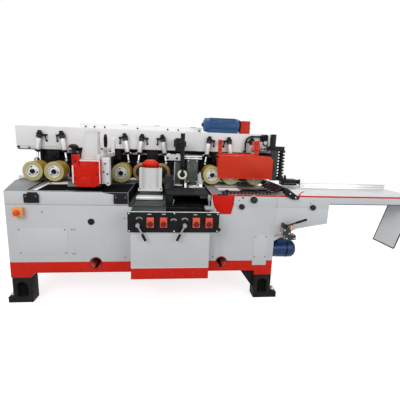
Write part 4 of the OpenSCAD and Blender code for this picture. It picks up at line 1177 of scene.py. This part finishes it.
class MOULDER_OT_feed(bpy.types.Operator):
    """Feed rollers, their heads, air cylinders and hoses"""

    bl_idname = "moulder.feed"
    bl_label = "Feed"

    def execute(self, context):
        sizes = context.scene.moulder_sizes
        for index, unit in enumerate(FEED_UNITS, 1):
            self.roller(f"feed_roller_{index}", unit)
            self.head(index, unit, sizes.casting_edge)
        self.cylinders()
        self.hoses()
        return {"FINISHED"}

    def roller(self, name, unit):
        """Polyurethane tyres on a steel hub with a dished face, bolts and a centre nut."""
        x, _, face = unit
        tyre = "tyre_bronze" if face else "tyre_amber"
        hub_steel = "slide_iron" if face else "silver_barrel"
        least_tyre = 130

        def part(low, high):
            return tyre if high.z - low.z > least_tyre else hub_steel

        # Painted light: the tyre's front face paler than its running surface
        def lit_front_face(centre, normal):
            return "tyre_lit_face" if normal.y < -0.7 and -1 < centre.y < 4 else None

        dressed(name, 0.0035, "turned_steel", part_finish=part, segments=3,
                face_finish=None if face else lit_front_face)
        dish = [(0, 37.5), (1.5, 37), (4, 27), (9, 25), (11, 24)]
        hub = turned((x, face + 9.5, ROLLER_Z), TO_FRONT, dish, 48)
        nut = turned((x, face - 5.5, ROLLER_Z), TO_FRONT, [(-6, 18), (0, 18), (1, 17)], 40, 5)
        # Painted shade: black disc in the socket of the centre nut
        bore_shade = turned((x, face - 6.2, ROLLER_Z), TO_FRONT, [(-0.6, 10.5), (0.4, 10.5), (0.8, 10)], 6)
        rim = round_points((x, face + 0.5, ROLLER_Z), 40, [360 * step / 48 for step in range(48)])
        ring = tube(rim, 3.4, True)
        parts = ((hub, hub_steel), (ring, hub_steel), (nut, "drive_iron"), (bore_shade, "shade_black"))
        settle(joined([paint(obj, tone) for obj, tone in parts]), name + "_hub", name)
        spots = round_points((x, face + 7.5, ROLLER_Z), 31.5, (-15, 105, 225))
        screws(name + "_bolts", name, spots, TO_FRONT, 5, 3.4)

    def head(self, index, unit, edge):
        """Feed head casting with its bright rod, eye pin and drive shaft."""
        name = f"feed_head_{index}"
        x, side, _ = unit

        def rod(low, high):
            slim = high.z > 900 and high.x - low.x < 60 and low.z > 850
            return "bright_steel" if slim else "drive_iron"

        def face(centre, normal):
            return "bright_steel" if centre.z > 888 else None

        dressed(name, edge, "drive_iron", part_finish=rod, face_finish=face)
        eye = (x + side * EYE_OUT, EYE_Y - 11.5, EYE_Z)
        pin = turned(eye, TO_FRONT, [(0, 9), (5, 9), (7, 7)], 28, 2)
        piece(name + "_pin", name, "bright_steel", pin)
        spots = grid((x - 24, x + 24), 142, (ROLLER_Z - 24, ROLLER_Z + 26))
        screws(name + "_screws", name, spots, TO_FRONT, 5, 3, "bright_steel")
        # The seventh shaft is short, because the lifting column stands behind it
        reach = 52 if index == 7 else 146
        profile = [
            (0, 16), (12, 16), (14, 9), (26, 9), (28, 13), (40, 13), (42, 8),
            (reach - 12, 8), (reach - 10, 13), (reach, 13)]
        piece(name + "_shaft", name, "drive_iron", turned((x, 199, ROLLER_Z), TO_BACK, profile, 28))

    def cylinders(self):
        """Silver barrels between black end caps, with locknuts, tie bands and fittings."""

        def part(low, high):
            barrel = 60 < high.z - low.z and high.y < 200 and low.z < 970
            return "silver_barrel" if barrel else "black_plastic"

        dressed("air_cylinders", 0.0022, "black_plastic", part_finish=part, segments=3)
        caps, bands, collars, ports = [], [], [], []
        # List, distance along the axis, profile and sides of what goes round each cylinder
        rounds = (
            (caps, 204, [(0, 18), (3, 14.5), (13, 14.5), (17, 12), (19, 7)], 32),
            (bands, 165, [(0, 18), (0.6, 18.8), (5, 18.8), (5.6, 18)], 40),
            (collars, 174, [(0, 20), (1, 21.3), (13, 21.3), (14, 20)], 40),
            (caps, 60, [(0, 13), (6, 15), (7, 15)], 6))
        for unit in FEED_UNITS:
            for made, distance, profile, sides in rounds:
                made.append(turned(*on_cylinder(unit, distance), profile, sides))
            way = unit[1] * TO_RIGHT
            ports.append(turned(on_cylinder(unit, 72)[0] + way * 19, way, [(0, 6), (9, 6), (11, 4.5)], 6))
        piece("cylinder_caps", "beam", "black_plastic", *caps)
        piece("cylinder_bands", "beam", "black_plastic", *bands)
        piece("cylinder_collars", "beam", "slide_iron", *collars)
        piece("cylinder_ports", "beam", "bright_steel", *ports)

    def hoses(self):
        """Air hoses from each cap into the beam, and the long arch at the valve box."""
        dressed("air_hoses", 0.0, "hose_rubber")
        hoses, nuts = [], []
        for unit in FEED_UNITS:
            side = -unit[1]
            out = on_cylinder(unit, 188.5)[0] + side * TO_RIGHT * 19
            nuts.append(turned(out, side * TO_RIGHT, [(0, 8.5), (8, 8.5), (10, 7)], 6))
            if unit == FEED_UNITS[-1]:
                continue
            drop = out + Vector((side * 20, 7, 0))
            nuts.append(turned(drop, -UP, [(0, 6.5), (12, 6.5), (14, 5)], 20))
            route = (
                (0, 0, -6), (0, 0, -14), (0.5, 1.2, -23), (1.2, 4.6, -31), (2, 10, -38),
                (2.6, 14, -41.5), (3.2, 19, -45.5))
            hoses.append(tube([drop + Vector((side * x, y, z)) for x, y, z in route], 4.0))
            grommet = drop + Vector((side * 3, 17.5, -44.5))
            nuts.append(turned(grommet, TO_FRONT, [(-1, 8), (3, 8), (4, 7)], 20))
        piece("cylinder_hoses", "beam", "hose_rubber", *hoses)
        piece("hose_nuts", "beam", "black_plastic", *nuts)


class MOULDER_OT_feed_motor(bpy.types.Operator):
    """Blue feed motor with fins and its red reducer"""

    bl_idname = "moulder.feed_motor"
    bl_label = "Feed motor"

    def execute(self, context):
        sizes = context.scene.moulder_sizes

        def part(low, high):
            return "reducer_red" if low.x > 700 else "blue_enamel"

        dressed("feed_motor", sizes.casting_edge * 1.4, "blue_enamel", part_finish=part, segments=3)
        y, z = 320, 1186
        angles = [360 * index / sizes.motor_fins for index in range(sizes.motor_fins)]
        angles = [angle for angle in angles if math.cos(math.radians(angle)) > -0.55]
        fins = fins_round(span((452, 672), (-1.6, 1.6), (52, 59)), y, z, angles)
        piece("feed_motor_fins", "beam", "blue_enamel", *fins)
        piece("feed_motor_ends", "beam", "blue_enamel",
              turned((448, y, z), TO_LEFT, [(0, 55), (2, 58), (34, 57), (40, 50), (42, 40)], 48, 3),
              turned((673, y, z), TO_RIGHT, [(0, 55), (2, 57.5), (20, 57.5), (26, 50)], 48))
        box = span((530, 620), (y + 50, y + 98), (z - 34, z + 30), 5.0, 3)
        piece("feed_motor_box", "beam", "blue_enamel", box)
        spots = grid((540, 610), y + 98, (z - 25, z + 21))
        screws("feed_motor_box_screws", "beam", spots, TO_BACK, 4, 2.5, "bright_steel")
        screws("reducer_screws", "beam", grid(792, (y - 34, y + 34), (1136, 1212)), TO_RIGHT, 6, 4)
        # Painted shade: black ring in the gap between motor and reducer, and black strips for the vent slots
        gap_shade = turned((700.5, y, z), TO_RIGHT, [(0, 46), (12.5, 46), (13, 45)], 48)
        piece("motor_joint_shade", "beam", "shade_black", gap_shade)
        cap = turned((792, y, z - 18), TO_RIGHT, [(-1, 26), (5, 26), (8, 21)], 40, 2)
        piece("reducer_cap", "beam", "red_enamel", cap)
        piece("motor_vent_shades", "beam", "shade_black", *vent_shades((405, 407.6), y, z, 30, 10, 2, 0.8))
        return {"FINISHED"}


class MOULDER_OT_top_hood(bpy.types.Operator):
    """Red hood over the top spindle, its duct, arm and hand grip"""

    bl_idname = "moulder.top_hood"
    bl_label = "Top hood"

    def execute(self, context):
        sizes = context.scene.moulder_sizes
        duct_x, duct_z = -424, 913.5

        def duct(centre, normal):
            return "duct_enamel" if centre.z > duct_z and centre.x > duct_x else None

        dressed("top_hood", sizes.casting_edge, "red_enamel", "red_enamel_edge", face_finish=duct)
        dressed("top_spindle_housing", sizes.casting_edge, "pale_enamel", "pale_enamel_edge")
        front = corners("top_hood")[0].y
        rib = span((-424, -352), (front - 3, front + 1), (747, 806), 2.0)
        piece("hood_rib", "beam", "red_enamel", rib)
        # Pale pink strips on the hood's edges: partly worn primer, partly painted highlight
        rim_y = (front - 2.5, front + 3)
        rims = (((-420, -302), (905, 914)), ((-467, -458), (768, 878)), ((-305, -299.5), (768, 912)))
        piece("hood_worn_glint_rims", "beam", "pink_wear_and_glint", *(span(x, rim_y, z, 1.6) for x, z in rims))
        # Painted highlight: pale lines along the duct's front edges
        piece("duct_edge_glints", "beam", "pale_enamel",
              tube([(-420, -290, 914), (-396, -267, 1089)], 2.4, smooth=False),
              tube([(-324, -290, 914), (-326, -267, 1089)], 1.8, smooth=False))
        profile = [(0, 14), (26, 14), (30, 11), (38, 11), (42, 27), (52, 29), (58, 24), (64, 14)]
        piece("hood_knob", "beam", "black_plastic", turned((-456, front + 18, 942), UP, profile, 36))
        spots = [
            (x, front, z) for x, z in ((-451, 862), (-451, 800), (-318, 894), (-318, 824), (-457, 929))]
        screws("hood_bolts", "beam", spots, TO_FRONT, 5.5, 4, "button_red", "red_paint")
        bolt = turned((-449, front - 1, 906), TO_FRONT, [(-6, 12), (3, 12), (5, 10)], 6)
        piece("hood_lug_bolt", "beam", "button_red", bolt, slot="red_paint")
        piece("hood_liner", "beam", "drive_iron", span((-300.5, -299.3), (-238, 132), (760, 910), 0.4))
        self.collar()
        self.grip()
        return {"FINISHED"}

    def collar(self):
        """Flange at the foot of the duct and a band round its mouth."""
        piece("duct_bands", "beam", "pale_enamel",
              span((-426, -318), (-296, -168), (911, 918), 1.6),
              span((-399, -323), (-270, -194), (1078, 1092), 1.6))
        # Painted shade: black plate in the mouth of the duct
        piece("duct_throat_shade", "beam", "shade_black", span((-391, -331), (-262, -202), (1089, 1093), 0.6))

    def grip(self):
        """White clamp beside the hood with bolts, bracket and black hand grip."""
        piece("hood_clamp", "beam", "pale_enamel",
              span((-300, -250), (-300, -245), (762, 926), 3.0, 3),
              turned((-259, -299, 766), TO_FRONT, [(0, 15), (4, 15), (6, 13)], 36, 5),
              span((-326, -282), (-122, -58), (962, 986), 3.0),
              span((-322, -304), (-110, -70), (940, 966), 3.0))
        spots = [(-286, -300, 838), (-262, -300, 826), (-275, -300, 890)]
        screws("hood_clamp_bolts", "beam", spots, TO_FRONT, 5.5, 4)
        profile = [(0, 8), (6, 10), (30, 12.5), (60, 13), (78, 10), (86, 8), (88, 6)]
        piece("hood_grip", "beam", "black_plastic", turned((-309, -100, 986), UP, profile, 32))


class MOULDER_OT_guard(bpy.types.Operator):
    """Swinging red roller guard and its posts"""

    bl_idname = "moulder.guard"
    bl_label = "Roller guard"

    def execute(self, context):
        sizes = context.scene.moulder_sizes
        for name in ("guard_posts", "roller_guard"):
            dressed(name, sizes.sheet_edge, "guard_enamel", "guard_enamel_edge")
        low, high = corners("roller_guard")
        outline = [(-57, low.z + 2), (-57, high.z - 32), (58, high.z - 32), (20, 870)]
        ends = [plate_x(outline, (x, x + 3)) for x in (low.x, high.x - 3)]
        lip = span((low.x, high.x), (-63, -57), (low.z, low.z + 7), 2.0)
        top = span((low.x + 6, high.x - 28), (-59, -52), (941, 952.5), 2.4)
        piece("guard_ends", "guard", "guard_enamel", *ends, lip, top)
        screws("post_bolts", "beam", grid((520, 817), 106, (992, 1044)), TO_FRONT, 6, 4)
        profile = [
            (0, 7), (3, 13), (12, 18), (36, 18.5), (46, 16), (49, 9), (56, 9), (58, 12.5),
            (80, 12.5), (84, 9)]
        piece("regulator_bowl", "beam", "bowl_red",
              turned((795, 138, 978), UP, profile, 36), span((786, 812), (119.5, 126), (1016, 1034), 2.0))
        return {"FINISHED"}


class MOULDER_OT_hangers(bpy.types.Operator):
    """Black pressure gear: press bar with its wheel, deflector, spring hanger and shoe"""

    bl_idname = "moulder.hangers"
    bl_label = "Pressure gear"

    def execute(self, context):
        sizes = context.scene.moulder_sizes

        def face(centre, normal):
            if 919 < centre.z < 941 and 236 < centre.x < 364 and centre.y < -30:
                return "bright_steel"
            if 254 < centre.x < 336 and centre.z < 920 and centre.y > -60:
                return "smoke_plate"
            if 916 < centre.x < 973 and 48 < centre.y < 64:
                return "slide_iron"
            return None

        dressed("pressure_hangers", sizes.casting_edge * 0.8, "black_enamel", face_finish=face)
        dressed("press_wheel", 0.003, "nylon", segments=3)
        self.wheel_hub()
        self.press_plates()
        self.spring()
        self.fittings()
        return {"FINISHED"}

    def wheel_hub(self):
        """Dark hub and axle nut inside the press wheel, and the fork that holds it."""
        hub = turned((220, -79, 808), TO_FRONT, [(-1, 19.5), (1, 19.5), (2, 17)])
        piece("press_wheel_hub", "press_wheel", "slide_iron", hub)
        nut = turned((220, -91, 808), TO_FRONT, [(-3, 8), (5, 8), (7, 6)], 6)
        piece("press_axle_nut", "beam", "drive_iron", nut)
        piece("press_fork", "beam", "black_enamel",
              plate([(211, 866), (229, 866), (227, 800), (220, 794), (213, 800)], (-92, -87), 1.5),
              span((209, 231), (-92, -50), (852, 872), 2.0))

    def press_plates(self):
        """Plates that hang beside the press bar, their clamp and the bar's own foot."""
        piece("press_side_plate", "beam", "smoke_plate", span((168, 228), (-22, -17), (731, 900)))
        piece("press_clamp", "beam", "body_enamel",
              span((103, 206), (-56, -20), (906, 948), 4.0, 3),
              span((112, 132), (-50, -30), (946, 956), 2.0),
              span((176, 200), (-50, -30), (946, 956), 2.0),
              span((163, 169), (-24, -15), (735, 896)),
              span((158, 226), (-40, -16), (719, 732), 1.5), slot="bright_steel")
        # Painted shade: black discs in the clamp's sockets
        sockets = [turned((x, -56, 922), TO_FRONT, [(-1, 8), (1.5, 8), (2, 7)], 28) for x in (114, 180)]
        piece("press_clamp_socket_shades", "beam", "shade_black", *sockets)
        piece("press_bar_plates", "beam", "black_enamel",
              span((166, 206), (-52, -28), (968, 1066), 3.0),
              span((208, 238), (-54, -26), (736, 790), 2.0),
              span((176, 196), (-56, -50), (1010, 1030), 2.0),
              span((176, 196), (-56, -50), (1040, 1056), 2.0))
        bracket = [(336, 806), (356, 828), (366, 780), (376, 752), (374, 735), (331, 731)]
        piece("press_brackets", "beam", "body_enamel",
              span((239, 244), (-56, -50), (738, 790), 0.8), plate(bracket, (-34, -28)),
              slot="bright_steel")

    def spring(self):
        """Coil spring round the guide rod, between its two seats."""
        x, y = SPRING
        low_z, high_z = 790, 1000
        turns, steps, radius, wire = 8, 16, 25, 4.8
        first, last = low_z + 2 * wire, high_z - 2 * wire
        points = []
        for step in range(turns * steps + 1):
            turn = math.radians(360 * step / steps)
            rise = (last - first) * step / (turns * steps)
            points.append((x + radius * math.cos(turn), y + radius * math.sin(turn), first + rise))
        coil = piece("hanger_coil", "beam", "black_enamel",
                     tube(points, wire, smooth=False),
                     turned((x, y, low_z - 1), UP, [(0, 29), (6, 29), (8, 27)]),
                     turned((x, y, high_z - 8), UP, [(0, 27), (2, 29), (9, 29)]))
        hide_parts("hanger_spring")

    def fittings(self):
        """Collars, clamps and knobs of the pressure gear."""
        piece("press_bar_clamp", "beam", "black_enamel",
              span((196, 244), (-62, -18), (1004, 1046), 3.0),
              span((160, 204), (120, 199), (1000, 1056), 3.0),
              turned((182, 119, 1028), TO_FRONT, [(0, 14), (5, 14), (7, 12)], 36, 3))
        spots = grid((206, 234), -62, (1012, 1038))
        screws("press_bar_screws", "beam", spots, TO_FRONT, 4.5, 3, "slide_iron", "bright_steel")
        wing = [(1034, 776), (1056, 776), (1050, 806), (1044, 810), (1038, 806)]
        piece("shoe_fittings", "beam", "black_enamel",
              turned((1166, 60, 756), TO_RIGHT, [(0, 22), (1, 23), (4, 18), (6, 10)], 36),
              plate(wing, (52, 66), 1.5),
              turned((1072, 21, 755), TO_FRONT, [(-1, 17), (3, 17), (5, 14)], 40, 2),
              span((1016, 1050), (16, 22), (736, 750), 2.0))
        screws("hanger_screws", "beam", grid(944.5, 50, (784, 870, 960)), TO_FRONT, 6, 4)
        spots = grid((264, 326), -44, (756, 906))
        screws("deflector_screws", "beam", spots, TO_FRONT, 4.5, 3, "bright_steel")


class MOULDER_OT_near_head(bpy.types.Operator):
    """Near side cutter head: slide, hood with red cap, bolts, and the well round it"""

    bl_idname = "moulder.near_head"
    bl_label = "Near cutter head"

    def execute(self, context):
        sizes = context.scene.moulder_sizes
        dressed("spindle_carriage", sizes.casting_edge, "slide_iron")
        dressed("spindle_hood", sizes.casting_edge, "pale_enamel", "pale_enamel_edge", segments=3)
        dressed("hood_cap", 0.006, "red_enamel", segments=4)
        spots = grid((-80, 66), (-92, -40), corners("spindle_hood")[0].z + 12)
        screws("hood_flange_bolts", "carriage", spots, UP, 7, 5)
        piece("slide_nose", "carriage", "silver_barrel",
              span((-97, 84), (-196, -112), (658, 662), 1.5),
              span((-99, 86), (-214, -200), (644, 662), 5.0, 4))
        ridge = turned((*NEAR_HOOD, 846), UP, [(0, 63), (3, 63), (6, 60.5)], 56)
        piece("hood_rim", "carriage", "pale_enamel", ridge)
        # Painted highlight: lighter orange red on the cap's top
        lid_z = corners("hood_cap")[1].z - 1
        lid = turned((*NEAR_HOOD, lid_z), UP, [(0, 37), (3, 36), (5, 30), (6, 20)], 48, 2.0)
        piece("hood_lit_lid", "carriage", "estop_red", lid, slot="red_paint")
        # Painted shade: dark red band round the cap's lower edge
        shade_band = turned((*NEAR_HOOD, 856), UP, [(0, 60.6), (11, 60.6), (11.6, 60)], 56)
        piece("hood_shade_band", "carriage", "shaded_red", shade_band)
        bars = [span(x, (-205, 40), (642, 652)) for x in ((-101, -97), (83, 87))]
        piece("slide_gibs", "carriage", "bright_steel", *bars)
        self.well()
        return {"FINISHED"}

    def well(self):
        """Rails, boot and dark fittings in the well round the cutter head."""
        rails = [span(x, (-376, 66), (640, 654), 2.0) for x in ((-122, -103), (89, 106))]
        piece("well_rails", "base", "slide_iron", *rails)
        piece("well_cheeks", "base", "drive_iron",
              span((112, 392), (-62, -40), (641, 700), 4.0, 3),
              span((112, 392), (-338, -60), (700, 712), 3.0, 3),
              span((112, 150), (-338, -300), (641, 701), 3.0))
        profile = [(0, 30)]
        for rib in range(10):
            radius = 36 - 0.45 * (rib - 5) ** 2
            low = 8 + rib * 15
            profile += [(low, radius - 3), (low + 3, radius), (low + 9, radius), (low + 12, radius - 3)]
        profile += [(162, 22), (166, 18)]
        piece("well_boot", "base", "boot_rubber", turned((126, -60, 641), UP, profile))
        piece("well_box", "base", "slide_iron", span((326, 376), (-342, -300), (684, 702), 2.0))
        piece("well_edge", "base", "bright_steel",
              tube([(151, -366, 641), (153, -366, 660), (157, -366, 671), (154, -366, 681)], 2.2),
              span((288, 392), (-61, -41), (699, 714), 1.5))
        piece("well_bracket", "base", "grey_casting",
              span((374, 392), (-374, -350), (676, 712), 2.0),
              span((379, 388), (-368, -356), (640, 680), 2.0),
              span((346, 396), (-462, -396), (630, 652), 9.0, 4))


class MOULDER_OT_spindles(bpy.types.Operator):
    """Spindles with their cutter heads and knives"""

    bl_idname = "moulder.spindles"
    bl_label = "Spindles"

    def execute(self, context):
        knives = context.scene.moulder_sizes.cutter_knives
        lying = Matrix.Rotation(math.radians(90), 4, "X")
        # Name, place, radius and width of each cutter head
        heads = (
            ("near_spindle", moved((-7, -8, 742)), 50, 80),
            ("far_spindle", moved((215, 212, 764)), 62, 66),
            ("bottom_spindle", moved((320, 69, 661.5)) @ lying, 60, 120),
            ("top_spindle", moved((-385, 65, 795)) @ lying, 60, 116))
        for name, *_ in heads:
            dressed(name, 0.0025, "turned_steel")
        for name, place, radius, width in heads:
            along = (-width / 2, width / 2)
            blade = paint(span((radius - 9, radius - 0.4), (-1.6, 1.6), along, 0.5), "bright_steel")
            wedge = paint(span((radius - 14, radius - 1.6), (2, 9), along), "slide_iron")
            turns = [place @ Matrix.Rotation(math.tau * index / knives, 4, "Z") for index in range(knives)]
            settle(joined(copies(joined([blade, wedge]), turns)), name + "_knives", name)
        return {"FINISHED"}


class MOULDER_OT_lower_right(bpy.types.Operator):
    """Lower motor, grease pump and its lever"""

    bl_idname = "moulder.lower_right"
    bl_label = "Lower motor and pump"

    def execute(self, context):
        sizes = context.scene.moulder_sizes
        neck_z = 505

        def pump_face(centre, normal):
            return "slide_iron" if centre.z > neck_z else None

        dressed("lower_motor", sizes.casting_edge * 1.6, "deep_blue", segments=4)
        dressed("pump_body", sizes.casting_edge, "grey_casting", segments=3,
                face_finish=pump_face)
        dressed("pump_lever", 0.0018, "black_enamel", segments=3)
        y, z = -300, 330
        fins = fins_round(span((874, 938), (-1.6, 1.6), (55, 60)), y, z, range(15, 375, 30))
        piece("lower_motor_fins", "base", "deep_blue", *fins)
        profile = [(0, 57), (2, 61), (42, 60), (56, 52), (64, 40), (66, 36)]
        piece("lower_motor_cowl", "base", "deep_blue", turned((940, y, z), TO_RIGHT, profile, 48, 3))
        # Painted shade: black ring in the joint of the lower motor, and black strips for its vent slots
        shade_band = turned((936, y, z), TO_RIGHT, [(0, 60), (5, 60), (5.5, 58)], 48)
        piece("lower_motor_joint_shade", "base", "shade_black", shade_band)
        piece("lower_motor_vent_shades", "base", "shade_black", *vent_shades((1003.5, 1004.8), y, z, 24, 8, 1.6, 0.5))
        self.pump(corners("pump_body")[0].y)
        return {"FINISHED"}

    def pump(self, front):
        """Nut, screws and pipe of the pump, and its lever's end."""
        piece("pump_nut", "base", "copper",
              turned((929, front + 12, 520), UP, [(-12, 13), (10, 13), (13, 10)], 6),
              turned((929, front + 12, 508), UP, [(-8, 16), (4, 16), (6, 14)], 36))
        spots = [(x, front, z) for x, z in ((878, 500), (910, 478), (896, 444), (948, 444))]
        screws("pump_screws", "base", spots, TO_FRONT, 5, 4, "bright_steel")
        route = [
            (868, front + 20, 480), (852, front + 24, 470), (842, front + 40, 452), (832, front + 52, 446)]
        piece("pump_pipe", "base", "copper", tube(route, 3.0))
        profile = [(-2, 8), (4, 8.6), (8, 7), (10, 4)]
        lever_end = turned((1008.4, -437, 571.7), (0.951, 0, 0.309), profile, 28)
        piece("pump_lever_end", "pump_lever", "black_plastic", lever_end)


# Studio


def background_rays(tree):
    """One for what the camera sees straight, in a mirror or through glass, else nought."""
    path = node(tree, "ShaderNodeLightPath").outputs
    direct = maths(tree, "MAXIMUM", path["Is Camera Ray"], path["Is Glossy Ray"])
    return maths(tree, "MAXIMUM", direct, path["Is Transmission Ray"])


def area_light(name, place, target, size, power):
    """Soft lamp at a place, aimed at a target."""
    data = bpy.data.lights.new(name, "AREA")
    data.shape = "RECTANGLE"
    data.size, data.size_y = size
    data.energy = power
    lamp = bpy.data.objects.new(name, data)
    bpy.context.scene.collection.objects.link(lamp)
    lamp.location = place
    lamp.rotation_euler = (Vector(target) - Vector(place)).to_track_quat("-Z", "Y").to_euler()


class MOULDER_OT_stage(bpy.types.Operator):
    """Floor, light and camera"""

    bl_idname = "moulder.stage"
    bl_label = "Stage"

    def execute(self, context):
        self.floor()
        self.world(context.scene)
        self.lamps()
        self.camera(context.scene)
        context.scene.view_settings.view_transform = "Standard"
        return {"FINISHED"}

    def floor(self):
        """Pale floor that keeps the machine's shadow."""
        deselect()
        bpy.ops.mesh.primitive_plane_add(size=60, location=(0, 10, 0))
        floor = apply_place(bpy.context.object)
        floor.name = "studio_floor"
        material = bpy.data.materials.new("studio_white")
        material.use_nodes = True
        tree = material.node_tree
        shader = tree.nodes["Principled BSDF"]
        shader.inputs["Base Color"].default_value = (0.50, 0.50, 0.50, 1)
        shader.inputs["Roughness"].default_value = 0.9
        shader.inputs["Specular IOR Level"].default_value = 0.0
        shader.inputs["Emission Color"].default_value = (1, 1, 1, 1)
        glow = maths(tree, "MULTIPLY", background_rays(tree), 0.78)
        tree.links.new(glow, shader.inputs["Emission Strength"])
        floor.data.materials.append(material)

    def world(self, scene):
        """White surround for the camera and for reflections, and soft light for the rest."""
        world = bpy.data.worlds.new("studio_world")
        scene.world = world
        world.use_nodes = True
        tree = world.node_tree
        background = tree.nodes["Background"]
        strength = maths(tree, "MAXIMUM", background_rays(tree), 0.42)
        background.inputs["Color"].default_value = (1, 1, 1, 1)
        tree.links.new(strength, background.inputs["Strength"])

    def lamps(self):
        """Large soft lamps in front, on both sides, overhead and behind."""
        area_light("key_lamp", (-1.8, -3.6, 2.8), (0, 0, 0.7), (2.6, 2.0), 78)
        area_light("fill_lamp", (2.8, -3.2, 1.8), (0.3, 0, 0.7), (2.4, 2.0), 44)
        area_light("top_lamp", (0, 0.2, 3.6), (0, 0, 0.6), (3.2, 1.8), 50)
        area_light("rear_lamp", (0.4, 3.4, 2.4), (0, 0, 0.7), (3.0, 1.6), 40)

    def camera(self, scene):
        """Camera at the photograph's viewing angle."""
        data = bpy.data.cameras.new("photo_camera")
        data.sensor_width = 36
        data.lens = 27
        camera = bpy.data.objects.new("photo_camera", data)
        scene.collection.objects.link(camera)
        right = Vector((0.99396, -0.10403, 0.03491))
        up = Vector((-0.01403, 0.19505, 0.98069))
        turn = Matrix((right, up, right.cross(up))).transposed().to_4x4()
        camera.matrix_world = Matrix.Translation((0.114, -2.240, 1.050)) @ turn
        scene.camera = camera


# Add-on


OPERATORS = (
    MOULDER_OT_finishes, MOULDER_OT_stage, MOULDER_OT_base, MOULDER_OT_bed, MOULDER_OT_front,
    MOULDER_OT_controls, MOULDER_OT_beam, MOULDER_OT_feed, MOULDER_OT_feed_motor, MOULDER_OT_top_hood,
    MOULDER_OT_guard, MOULDER_OT_hangers, MOULDER_OT_near_head, MOULDER_OT_spindles, MOULDER_OT_lower_right)


class MOULDER_PT_panel(bpy.types.Panel):
    """Lists the pieces of the moulder"""

    bl_idname = "MOULDER_PT_panel"
    bl_label = "Four sided moulder"
    bl_space_type = "VIEW_3D"
    bl_region_type = "UI"
    bl_category = "Moulder"

    def draw(self, context):
        for group in (context.scene.moulder_sizes, context.scene.moulder_colours):
            for key in group.__annotations__:
                self.layout.prop(group, key)
        for operator in OPERATORS:
            self.layout.operator(operator.bl_idname)


CLASSES = (MoulderSizes, MoulderColours, *OPERATORS, MOULDER_PT_panel)


def register():
    """Makes the operators, the panel and the settings known."""
    for item in CLASSES:
        bpy.utils.register_class(item)
    bpy.types.Scene.moulder_sizes = PointerProperty(type=MoulderSizes)
    bpy.types.Scene.moulder_colours = PointerProperty(type=MoulderColours)


def unregister():
    """Takes the settings, the panel and the operators away again."""
    del bpy.types.Scene.moulder_colours
    del bpy.types.Scene.moulder_sizes
    for item in reversed(CLASSES):
        bpy.utils.unregister_class(item)


def main():
    """Makes every piece."""
    register()
    for operator in OPERATORS:
        group, name = operator.bl_idname.split(".")
        getattr(getattr(bpy.ops, group), name)()


if __name__ == "__main__":
    main()
